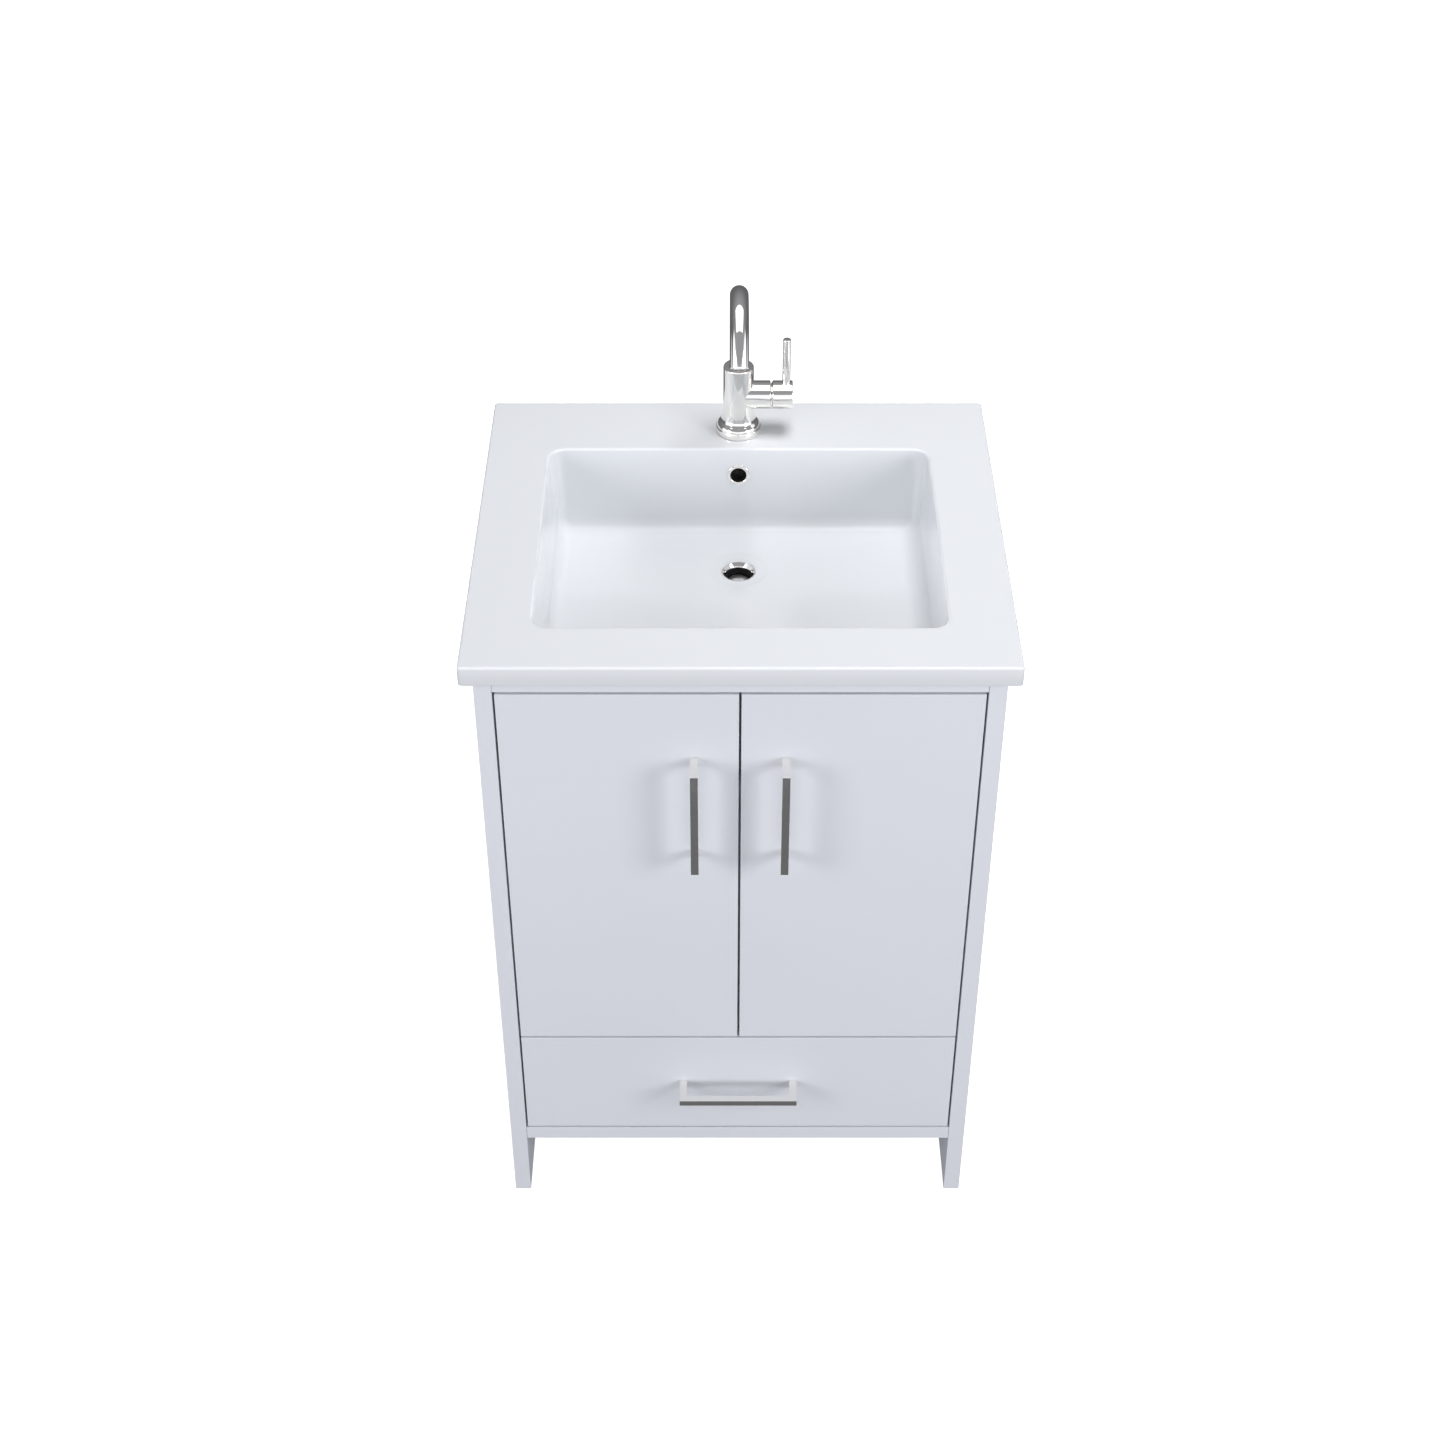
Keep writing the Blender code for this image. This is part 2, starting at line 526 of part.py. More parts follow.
def hinge(side, sign, level, z, swing, door):
    """One concealed cup hinge: plate and arm on the side panel, cup and pin in the door."""
    name = side + "_" + level + "_hinge_"

    def span(u_low, u_high, v_low, v_high, half_height):
        x_low, x_high = sorted((hinge_point(sign, u_low, 0)[0], hinge_point(sign, u_high, 0)[0]))
        return ((x_low, CARCASS_FRONT + v_low, z - half_height), (x_high, CARCASS_FRONT + v_high, z + half_height))

    plate = block(name + "plate", *span(GAP, 0.0033, 0.034, 0.084, 0.007), STEEL, edge=0)
    join(plate, block(name + "plate_wings", *span(GAP, 0.0028, 0.046, 0.062, 0.026)))
    outline_plate(name + "arm", arm_outline(sign), ARM_HEIGHT, (0, 0, z), STEEL)

    cup_x, cup_y = hinge_point(sign, CUP_U, CUP_DEPTH_V + GAP)
    flange_v = FRONT_THICK + GAP
    cup = rod(name + "cup", (cup_x, cup_y, z), flange_v + 0.0012 - CUP_DEPTH_V - GAP, CUP_RADIUS, "Y", STEEL, swing)
    join(cup, block(name + "flange", *span(CUP_U - 0.005, CUP_U + 0.008, flange_v, flange_v + 0.0012, 0.031)))
    cut(cup, rod(name + "hollow", (cup_x, cup_y + 0.0008, z), 0.030, CUP_RADIUS - 0.0008, "Y"))
    cut(door, rod(name + "recess", (cup_x, cup_y - GAP, z), 0.030, CUP_RADIUS + GAP, "Y"))

    pin_x, pin_y = hinge_point(sign, PIN_U, PIN_V)
    chord = math.sqrt((CUP_RADIUS - 0.0008) ** 2 - (CUP_U - PIN_U) ** 2)
    pin_half = chord - 2 * GAP
    rod(name + "pin", (pin_x, pin_y, z - pin_half), 2 * pin_half, 0.0012, "Z", STEEL, swing, steps=12)


def pull(name, centre, along, parent):
    """A square-bar pull: a U whose legs stand on the front, along X or Z, seen from above or the side."""
    front = CARCASS_FRONT - PULL_REACH
    foot = CARCASS_FRONT - GAP
    half = PULL_LENGTH / 2
    x, z = centre

    def corners(length, depth_low, depth_high, width):
        size = (length, width) if along == "X" else (width, length)
        return ((x - size[0], depth_low, z - size[1]), (x + size[0], depth_high, z + size[1]))

    bar = block(name, *corners(half, front, foot, PULL_SECTION / 2), CHROME, parent, edge=0)
    cut(bar, block(name + "_gap", *corners(half - PULL_SECTION, front + PULL_SECTION, foot + 0.010, PULL_SECTION)))
    soften(bar, 0.0005)


def doors():
    for side, sign in (("left", -1), ("right", 1)):
        pin_x, pin_y = hinge_point(sign, PIN_U, PIN_V)
        swing = pivot(side + "_door_axis", (pin_x, pin_y, (DOOR_LOW_Z + DOOR_HIGH_Z) / 2))
        x_low, x_high = sorted((sign * DOOR_EDGE_X, sign * DOOR_MIDDLE_X))
        door = block(side + "_door_panel", (x_low, CARCASS_FRONT, DOOR_LOW_Z), (x_high, FRONT_BACK_Y, DOOR_HIGH_Z),
                     PAINT, swing)
        for level, z in (("upper", DOOR_HIGH_Z - HINGE_INSET), ("lower", DOOR_LOW_Z + HINGE_INSET)):
            hinge(side, sign, level, z, swing, door)
        pull(side + "_door_handle", (sign * DOOR_PULL_X, DOOR_PULL_Z), "Z", swing)


# ---------------------------------------------------------------- drawer
def drawer():
    slide = pivot("drawer_axis", (0, CARCASS_FRONT, (DRAWER_LOW_Z + DRAWER_HIGH_Z) / 2))
    block("drawer_front", (-DOOR_EDGE_X, CARCASS_FRONT, DRAWER_LOW_Z),
          (DOOR_EDGE_X, FRONT_BACK_Y, DRAWER_HIGH_Z), PAINT, slide)
    pull("drawer_handle", (0, DRAWER_PULL_Z), "X", slide)

    box_front = FRONT_BACK_Y + GAP
    inside = DRAWER_HALF - DRAWER_SIDE - GAP
    for side, sign in (("left", -1), ("right", 1)):
        x_low, x_high = sorted((sign * DRAWER_HALF, sign * (DRAWER_HALF - DRAWER_SIDE)))
        block("drawer_" + side + "_side", (x_low, box_front, DRAWER_BOX_LOW),
              (x_high, DRAWER_BOX_BACK, DRAWER_BOX_HIGH), BOX_BOARD, slide)
    block("drawer_inner_front", (-inside, box_front, DRAWER_BOX_LOW),
          (inside, box_front + DRAWER_SIDE, DRAWER_BOX_HIGH), BOX_BOARD, slide)
    block("drawer_back", (-inside, DRAWER_BOX_BACK - DRAWER_SIDE, DRAWER_BOX_LOW),
          (inside, DRAWER_BOX_BACK, DRAWER_BOX_HIGH), BOX_BOARD, slide)
    block("drawer_bottom", (-inside, box_front + DRAWER_SIDE + GAP, DRAWER_BOTTOM_Z),
          (inside, DRAWER_BOX_BACK - DRAWER_SIDE - GAP, DRAWER_BOTTOM_Z + DRAWER_BOTTOM_THICK), BOX_BOARD, slide,
          edge=0)
    return slide


def channel(name, web_x, tip_x, half_height, length, parent=None):
    """A C-section rail along Y: its web lies at web_x, and its two lips reach to tip_x."""
    web_inner = web_x + math.copysign(RUNNER_METAL, tip_x - web_x)
    lip = half_height - RUNNER_METAL
    outline = ((web_x, -half_height), (tip_x, -half_height), (tip_x, -lip), (web_inner, -lip),
               (web_inner, lip), (tip_x, lip), (tip_x, half_height), (web_x, half_height))
    middle_y = RUNNER_FRONT + length / 2
    outline_plate(name, [outline], length, (0, middle_y, RUNNER_Z), STEEL, parent, upright=True)


def runners(slide):
    """Three-part ball runners: a rail on each side panel, a middle member, a member on the drawer."""
    middle = pivot("carriage_axis", slide.location)
    full = RUNNER_BACK - RUNNER_FRONT
    for side, sign in (("left", -1), ("right", 1)):
        rail_x = sign * (INNER_X - GAP)
        lip_x = sign * (INNER_X - 0.0110)
        channel(side + "_runner_rail", rail_x, lip_x, 0.0225, full)
        channel(side + "_runner_carriage", sign * (INNER_X - 0.0045), lip_x, 0.0186, full - 0.020, middle)
        slide_web = sign * (DRAWER_HALF + GAP)
        channel(side + "_runner_slide", slide_web, sign * (DRAWER_HALF + 0.0062), 0.0147, full, slide)


side_panels()
cross_boards()
sink_top()
overflow_ring()
drain()
tap_body()
tap_spout()
tap_lever()
doors()
runners(drawer())
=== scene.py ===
"""The looks of the bathroom vanity cabinet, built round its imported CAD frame.

Metres, +Z up, the front faces -Y. Most pieces take their place from a CAD node's box.
"""
import json
import math

import bmesh
import bpy
from mathutils import Matrix, Vector


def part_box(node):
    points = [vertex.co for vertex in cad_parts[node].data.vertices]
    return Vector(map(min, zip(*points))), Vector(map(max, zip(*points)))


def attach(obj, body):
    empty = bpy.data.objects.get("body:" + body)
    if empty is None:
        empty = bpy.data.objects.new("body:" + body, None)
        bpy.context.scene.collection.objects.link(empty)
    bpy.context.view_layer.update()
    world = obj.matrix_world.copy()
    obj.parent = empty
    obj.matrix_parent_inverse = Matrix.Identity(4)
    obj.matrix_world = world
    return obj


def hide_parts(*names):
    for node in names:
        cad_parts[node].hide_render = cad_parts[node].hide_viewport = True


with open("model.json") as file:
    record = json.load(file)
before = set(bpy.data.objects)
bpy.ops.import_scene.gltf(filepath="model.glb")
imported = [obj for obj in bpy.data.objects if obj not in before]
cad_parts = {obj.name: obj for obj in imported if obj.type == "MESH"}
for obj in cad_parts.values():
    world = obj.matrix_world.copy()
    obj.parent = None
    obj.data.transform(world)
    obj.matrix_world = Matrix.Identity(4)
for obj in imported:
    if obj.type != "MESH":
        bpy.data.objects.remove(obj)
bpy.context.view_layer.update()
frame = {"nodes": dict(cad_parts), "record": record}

SIDES = (("left", -1), ("right", 1))
LEVELS = ("upper", "lower")

# ---- camera
# A 57.5 mm lens seen at 39 degrees down, a little left of the object's middle.
CAMERA_PLACE = (-0.0195, -2.2204, 2.388)
CAMERA_PITCH = math.radians(39.03)
camera_data = bpy.data.cameras.new("camera")
camera_data.sensor_width = 36
camera_data.lens = 57.52
camera = bpy.data.objects.new("camera", camera_data)
camera.location = CAMERA_PLACE
camera.rotation_euler = (math.pi / 2 - CAMERA_PITCH, 0, 0)
bpy.context.scene.collection.objects.link(camera)
bpy.context.scene.camera = camera


# ---- materials
NOISE_RANGE = (0.3, 0.7)  # where most of a noise's values lie


class Shader:
    """A Principled material with short calls for the procedural nodes that drive it."""

    def __init__(self, name, colour, roughness, metallic=0.0, **settings):
        self.material = bpy.data.materials.new(name)
        self.material.use_nodes = True
        self.nodes = self.material.node_tree.nodes
        self.links = self.material.node_tree.links
        self.principled = self.nodes["Principled BSDF"]
        self.set("Base Color", (*colour, 1.0))
        self.set("Roughness", roughness)
        self.set("Metallic", metallic)
        for socket, value in settings.items():
            self.set(socket.replace("_", " "), value)

    def set(self, socket, value):
        self.principled.inputs[socket].default_value = value

    def noise(self, scale, detail=2.0, stretch=(1, 1, 1)):
        """Noise in the object's own metres: scale is the number of features in a metre."""
        place = self.nodes.new("ShaderNodeTexCoord")
        mapping = self.nodes.new("ShaderNodeMapping")
        mapping.inputs["Scale"].default_value = stretch
        texture = self.nodes.new("ShaderNodeTexNoise")
        texture.inputs["Scale"].default_value = scale
        texture.inputs["Detail"].default_value = detail
        self.links.new(place.outputs["Object"], mapping.inputs["Vector"])
        self.links.new(mapping.outputs["Vector"], texture.inputs["Vector"])
        return texture.outputs["Fac"]

    def vary(self, socket, source, low, high):
        """Drive a number between two values by a noise."""
        span = self.nodes.new("ShaderNodeMapRange")
        for name, value in zip(("From Min", "From Max", "To Min", "To Max"), (*NOISE_RANGE, low, high)):
            span.inputs[name].default_value = value
        self.links.new(source, span.inputs["Value"])
        self.links.new(span.outputs["Result"], self.principled.inputs[socket])

    def tint(self, source, *stops):
        """Drive the base colour by a ramp of (position, colour) stops."""
        ramp = self.nodes.new("ShaderNodeValToRGB")
        elements = ramp.color_ramp.elements
        while len(elements) < len(stops):
            elements.new(0.5)
        for element, (position, colour) in zip(elements, stops):
            element.position = position
            element.color = (*colour, 1.0)
        self.links.new(source, ramp.inputs["Fac"])
        self.links.new(ramp.outputs["Color"], self.principled.inputs["Base Color"])

    def bump(self, source, height, strength=1.0):
        """Relief of the given height in metres. A second call adds to the first."""
        node = self.nodes.new("ShaderNodeBump")
        node.inputs["Distance"].default_value = height
        node.inputs["Strength"].default_value = strength
        self.links.new(source, node.inputs["Height"])
        normal = self.principled.inputs["Normal"]
        if normal.links:
            self.links.new(normal.links[0].from_socket, node.inputs["Normal"])
        self.links.new(node.outputs["Normal"], normal)


def noisy_material(name, colour, roughness, metallic=0.0, tint=None, gloss=None, relief=None, **settings):
    """A material from up to three noises, each given as its scale and detail and then what it drives:
    tint by colour stops, gloss between two roughnesses, relief by a height and a strength."""
    shader = Shader(name, colour, roughness, metallic, **settings)
    if tint:
        shader.tint(shader.noise(*tint[:2]), *tint[2:])
    if gloss:
        shader.vary("Roughness", shader.noise(*gloss[:2]), *gloss[2:])
    if relief:
        shader.bump(shader.noise(*relief[:2]), *relief[2:])
    return shader.material


def birch_material(name, stretch):
    """Lacquered birch board in long streaks. The grain runs along the axis with the smallest stretch."""
    shader = Shader(name, (0.72, 0.58, 0.40), 0.42)
    streaks = shader.noise(14, 6, stretch=stretch)
    shader.tint(streaks, (0.30, (0.60, 0.45, 0.28)), (0.5, (0.72, 0.58, 0.40)), (0.72, (0.80, 0.67, 0.49)))
    shader.vary("Roughness", streaks, 0.36, 0.5)
    shader.bump(shader.noise(60, 3, stretch=stretch), 0.00005, 0.5)
    return shader.material


# Sprayed satin paint on board: a fine orange peel, with a slow change in gloss.
PAINT = noisy_material(
    "white_paint", (0.740, 0.760, 0.802), 0.38,
    tint=(3, 3, (0.35, (0.733, 0.753, 0.795)), (0.65, (0.747, 0.767, 0.809))),
    gloss=(14, 4, 0.34, 0.42), relief=(420, 2, 0.00003, 0.5))
# Glossy white glaze with a faint unevenness.
CERAMIC = noisy_material(
    "sink_white", (0.754, 0.772, 0.796), 0.16, Coat_Weight=0.35, Coat_Roughness=0.04,
    gloss=(9, 3, 0.13, 0.20), relief=(26, 1, 0.00006, 0.35))
CHROME = noisy_material("chrome", (0.968, 0.945, 0.905), 0.05, 1.0, gloss=(60, 4, 0.03, 0.07))
SATIN = noisy_material(
    "satin_chrome", (0.90, 0.90, 0.905), 0.32, 1.0, gloss=(160, 4, 0.28, 0.40), relief=(700, 2, 0.00002, 0.4))
# Zinc plate: grey with a faint patchy bloom.
STEEL = noisy_material(
    "zinc_steel", (0.55, 0.56, 0.58), 0.3, 1.0,
    tint=(90, 4, (0.35, (0.48, 0.49, 0.50)), (0.65, (0.62, 0.63, 0.64))), gloss=(240, 3, 0.24, 0.42))
BRASS = noisy_material(
    "brass", (0.72, 0.55, 0.28), 0.3, 1.0,
    tint=(70, 4, (0.35, (0.62, 0.46, 0.22)), (0.7, (0.78, 0.61, 0.33))), gloss=(300, 3, 0.22, 0.4))
RUBBER = noisy_material(
    "black_rubber", (0.025, 0.025, 0.027), 0.65, gloss=(200, 3, 0.55, 0.8), relief=(900, 2, 0.00004, 0.5))
PLASTIC = noisy_material(
    "grey_plastic", (0.34, 0.35, 0.37), 0.42, gloss=(150, 3, 0.36, 0.5), relief=(1100, 1, 0.00002, 0.5))
# Painted shade: a matt black for the linings in the drain's throat and behind the overflow ring, so that
# these holes read as shaded.
SHADE_BLACK = noisy_material(
    "painted_shade_black", (0.012, 0.012, 0.013), 0.6, Specular_IOR_Level=0.2,
    gloss=(300, 3, 0.5, 0.7), relief=(1500, 1, 0.00002, 0.4))
BIRCH = birch_material("drawer_board", (0.5, 9.0, 9.0))
BIRCH_SIDE = birch_material("drawer_side_board", (9.0, 0.5, 9.0))
SLOT_MATERIAL = {"white_paint": PAINT, "drawer_board": BIRCH, "sink_white": CERAMIC, "chrome": CHROME,
                 "zinc_steel": STEEL, "brass": BRASS, "black_rubber": RUBBER, "grey_plastic": PLASTIC}
NODE_SLOT = {part["node"]: part["material_slot"] for part in frame["record"]["subparts"]}
NODE_BODY = {node: body for body, nodes in frame["record"]["behaviour"]["bodies"].items()
             for node in nodes}

for node, obj in frame["nodes"].items():
    obj.data.materials.clear()
    obj.data.materials.append(SLOT_MATERIAL[NODE_SLOT[node]])


# ---- mesh helpers
def finish_piece(obj, slot, body, *nodes):
    """Give a piece its material, the body it rides on and the CAD nodes that it stands for."""
    obj.data.materials.clear()
    obj.data.materials.append(SLOT_MATERIAL[slot])
    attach(obj, body)
    if nodes:
        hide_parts(*nodes)
    return obj


def stand_for(obj, node):
    return finish_piece(obj, NODE_SLOT[node], NODE_BODY[node], node)


def link_mesh(name, bm):
    mesh = bpy.data.meshes.new(name)
    bm.to_mesh(mesh)
    bm.free()
    obj = bpy.data.objects.new(name, mesh)
    bpy.context.scene.collection.objects.link(obj)
    return obj


def smooth(obj, degrees=35):
    obj.data.shade_smooth()
    obj.data.set_sharp_from_angle(angle=math.radians(degrees))
    return obj


def soften(obj, width, segments=3, degrees=35):
    bevel = obj.modifiers.new("soft_edges", "BEVEL")
    bevel.width = width
    bevel.segments = segments
    bevel.limit_method = "ANGLE"
    bevel.angle_limit = math.radians(degrees)
    bevel.harden_normals = True
    obj.data.shade_smooth()
    return obj


def bar(name, low, high):
    low, high = Vector(low), Vector(high)
    bm = bmesh.new()
    bmesh.ops.create_cube(bm, size=1.0)
    bmesh.ops.scale(bm, vec=high - low, verts=bm.verts)
    bmesh.ops.translate(bm, vec=(low + high) / 2, verts=bm.verts)
    return link_mesh(name, bm)


def axis_matrix(axis):
    """Turns +Z onto the named axis."""
    if axis == "X":
        return Matrix.Rotation(math.pi / 2, 4, "Y")
    if axis == "Y":
        return Matrix.Rotation(-math.pi / 2, 4, "X")
    return Matrix.Identity(4)


def rod(name, start, length, radius, axis="Z", steps=48):
    """A cylinder that runs from start along +X, +Y or +Z, with its place in its mesh."""
    bm = bmesh.new()
    bmesh.ops.create_cone(bm, cap_ends=True, segments=steps, radius1=radius, radius2=radius, depth=length)
    bmesh.ops.translate(bm, vec=(0, 0, length / 2), verts=bm.verts)
    bmesh.ops.transform(bm, matrix=Matrix.Translation(start) @ axis_matrix(axis), verts=bm.verts)
    return link_mesh(name, bm)


def lathe(name, profile, origin, axis="Z", steps=96, tilt=None):
    """A turned solid from a closed loop of (radius, height) points. A point on the axis is a pole."""
    bm = bmesh.new()
    rings = []
    for radius, height in profile:
        if radius < 1e-7:
            rings.append([bm.verts.new((0, 0, height))] * steps)
            continue
        ring = []
        for step in range(steps):
            angle = 2 * math.pi * step / steps
            ring.append(bm.verts.new((radius * math.cos(angle), radius * math.sin(angle), height)))
        rings.append(ring)
    for ring, following in zip(rings, rings[1:] + rings[:1]):
        for step in range(steps):
            after = (step + 1) % steps
            corners = [ring[step], ring[after], following[after], following[step]]
            face = list(dict.fromkeys(corners))
            if len(face) > 2:
                bm.faces.new(face)
    bmesh.ops.recalc_face_normals(bm, faces=bm.faces)
    matrix = Matrix.Translation(origin) @ (tilt or Matrix.Identity(4)) @ axis_matrix(axis)
    bmesh.ops.transform(bm, matrix=matrix, verts=bm.verts)
    return smooth(link_mesh(name, bm))


WELD = 0.000004  # points closer than this become one
HOLE_SIDES = 16  # a gap with up to this many sides is closed


def apply_booleans(obj, *steps):
    """Carry out (operation, other) steps on the mesh itself and drop the other objects."""
    for operation, other in steps:
        modifier = obj.modifiers.new("cut", "BOOLEAN")
        modifier.operation = operation
        modifier.object = other
    bpy.context.view_layer.update()
    evaluated = obj.evaluated_get(bpy.context.evaluated_depsgraph_get())
    mesh = bpy.data.meshes.new_from_object(evaluated)
    obj.modifiers.clear()
    bm = bmesh.new()
    bm.from_mesh(mesh)
    bmesh.ops.remove_doubles(bm, verts=bm.verts, dist=WELD)
    bmesh.ops.dissolve_degenerate(bm, edges=bm.edges, dist=WELD)
    bmesh.ops.holes_fill(bm, edges=[edge for edge in bm.edges if edge.is_boundary], sides=HOLE_SIDES)
    bm.to_mesh(mesh)
    bm.free()
    obj.data = mesh
    for _, other in steps:
        bpy.data.objects.remove(other, do_unlink=True)
    return obj


def arc(centre, radius, start, end, steps):
    """Points of an arc in a profile's plane, from start to end degrees."""
    points = []
    for step in range(steps + 1):
        angle = math.radians(start + (end - start) * step / steps)
        points.append((centre[0] + radius * math.cos(angle), centre[1] + radius * math.sin(angle)))
    return points


# ---- boards
BOARD_EDGE = 0.0007


def board(node, edge=BOARD_EDGE, cutters=()):
    """A painted or lacquered board in place of a CAD board, with rounded arrises."""
    obj = bar(node + "_board", *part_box(node))
    if cutters:
        apply_booleans(obj, *[("DIFFERENCE", cutter) for cutter in cutters])
    return stand_for(soften(obj, edge), node)


def boards():
    for node in ("left_side_panel", "right_side_panel", "floor_panel", "divider_panel", "top_front_rail",
                 "top_back_rail", "back_panel", "drawer_front", "drawer_inner_front", "drawer_left_side",
                 "drawer_right_side", "drawer_back"):
        board(node)
    board("drawer_bottom", 0.0004)
    for node in ("drawer_left_side", "drawer_right_side"):
        bpy.data.objects[node + "_board"].data.materials[0] = BIRCH_SIDE


# ---- doors
def doors():
    gap = 0.0003  # round each hinge cup
    for side, _ in SIDES:
        cutters = []
        for level in LEVELS:
            low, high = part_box(f"{side}_{level}_hinge_cup")
            centre = (low + high) / 2
            radius = (high.x - low.x) / 2 + gap
            cutters.append(rod("recess", (centre.x, low.y - gap, centre.z), 0.030, radius, "Y", 64))
        board(f"{side}_door_panel", cutters=cutters)


# ---- sink top
SINK_LOW, SINK_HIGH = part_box("sink_top")
SLAB_UNDER = SINK_HIGH.z - 0.0245
OUTER = ((SINK_HIGH.x - SINK_LOW.x) / 2, (SINK_HIGH.y - SINK_LOW.y) / 2, 0.004,
         (SINK_HIGH.y + SINK_LOW.y) / 2)  # half sizes, corner radius, middle in Y
BASIN = (0.230, 0.181, 0.020, -0.0075)  # the same, at the rim
BASIN_DRAFT = math.tan(math.radians(4))
BASIN_FLOOR = 0.767
BASIN_WALL = 0.008
BOWL_UNDER = 0.7515
BOSS_UNDER = SINK_LOW.z
DRAIN_Y = 0.080
DRAIN_RIM = 0.7605
FLANGE_HOLE = 0.0203
DRAIN_HOLE = 0.0178
OVERFLOW_Z = 0.8405
OVERFLOW_Y = BASIN[3] + BASIN[1] - (SINK_HIGH.z - OVERFLOW_Z) * BASIN_DRAFT
WALL_LEAN = Matrix.Rotation(-math.atan(BASIN_DRAFT), 4, "X")
QUARTER = (8, 10, 8)  # points on a quarter ring: side, corner, end


def rect_ring(base, grow, z, least_corner=0.003):
    """A rounded rectangle of points, grown outwards from its base by an offset."""
    half_x, half_y, corner = base[0] + grow, base[1] + grow, max(base[2] + grow, least_corner)
    side, bend, end = QUARTER
    quarter = [(half_x, (half_y - corner) * step / side) for step in range(side)]
    quarter += arc((half_x - corner, half_y - corner), corner, 0, 90, bend)[:-1]
    quarter += [((half_x - corner) * (1 - step / end), half_y) for step in range(end)]
    return mirrored_ring(quarter, (0, half_y), base[3], z)


def mirrored_ring(quarter, top, middle_y, z):
    """A full ring from its first quarter: quarter holds all but the point at the top."""
    closed = quarter + [top]
    ring = quarter + [(-x, y) for x, y in closed[:0:-1]] + [(-x, -y) for x, y in quarter]
    ring += [(x, -y) for x, y in closed[:0:-1]]
    return [Vector((x, y + middle_y, z)) for x, y in ring]


def drain_ring(radius, z):
    quarter = arc((0, 0), radius, 0, 90, sum(QUARTER))[:-1]
    return mirrored_ring(quarter, (0, radius), DRAIN_Y, z)


def between(first, last, steps):
    """Rings that turn the first smoothly into the last, without those two."""
    return [[a.lerp(b, step / steps) for a, b in zip(first, last)] for step in range(1, steps)]


def loft(name, rings):
    """A closed surface through rings of equal length, the last joined to the first."""
    bm = bmesh.new()
    loops = [[bm.verts.new(point) for point in ring] for ring in rings]
    for loop, following in zip(loops, loops[1:] + loops[:1]):
        for index in range(len(loop)):
            after = (index + 1) % len(loop)
            bm.faces.new((loop[index], loop[after], following[after], following[index]))
    bmesh.ops.recalc_face_normals(bm, faces=bm.faces)
    return link_mesh(name, bm)


def floor_fillet(offset, z_floor, radius):
    """Centre of the arc between a leaning wall, offset outwards, and the floor below it."""
    z = z_floor + radius
    wall = offset - (SINK_HIGH.z - z) * BASIN_DRAFT
    return wall - radius * math.hypot(1, BASIN_DRAFT), z


def sink_rings():
    top, edge, foot, rim = SINK_HIGH.z, 0.0028, 0.0012, 0.0030
    outer = arc((-foot, SLAB_UNDER + foot), foot, -90, 0, 3) + arc((-edge, top - edge), edge, 0, 90, 6)
    outer += [(-edge - 0.003, top)]
    rings = [rect_ring(OUTER, grow, z) for grow, z in outer]

    fillet = 0.018
    inner = [(rim + 0.004, top)] + arc((rim, top - rim), rim, 90, 176, 7)
    centre = floor_fillet(0, BASIN_FLOOR, fillet)
    inner += [(-0.0015, top - 0.020), (-0.004, top - 0.055)] + arc(centre, fillet, -4, -90, 10)
    rings += [rect_ring(BASIN, grow, z, 0.012) for grow, z in inner]

    dish = [(0.0385, 0.0026), (0.0352, 0.0023), (0.0335, 0.0018), (0.0300, 0.0012), (0.0260, 0.0008),
            (FLANGE_HOLE + 0.0024, 0.0004)]
    dish = [drain_ring(radius, DRAIN_RIM + height) for radius, height in dish]
    rings += between(rings[-1], dish[0], 9) + dish
    lip = arc((FLANGE_HOLE + 0.0018, DRAIN_RIM - 0.0016), 0.0018, 80, 180, 6)
    seat = DRAIN_RIM - 0.0043
    lip += [(FLANGE_HOLE, seat), (DRAIN_HOLE, seat), (DRAIN_HOLE, BOSS_UNDER + 0.0008),
            (DRAIN_HOLE + 0.0008, BOSS_UNDER), (0.0262, BOSS_UNDER), (0.0270, BOSS_UNDER + 0.0008),
            (0.0270, BOWL_UNDER - 0.003), (0.0279, BOWL_UNDER - 0.0009), (0.0300, BOWL_UNDER)]
    rings += [drain_ring(radius, z) for radius, z in lip]

    outside = fillet + BASIN_WALL / 2
    centre = floor_fillet(BASIN_WALL, BOWL_UNDER, outside)
    under = arc(centre, outside, -90, -4, 8)
    wall_top = BASIN_WALL - (top - SLAB_UNDER) * BASIN_DRAFT
    under += [(wall_top, SLAB_UNDER - 0.0030), (wall_top + 0.0009, SLAB_UNDER - 0.0009),
              (wall_top + 0.0030, SLAB_UNDER)]
    under = [rect_ring(BASIN, grow, z, 0.016) for grow, z in under]
    rings += between(rings[-1], under[0], 5) + under
    rings += [rect_ring(OUTER, -0.004, SLAB_UNDER)]
    return rings


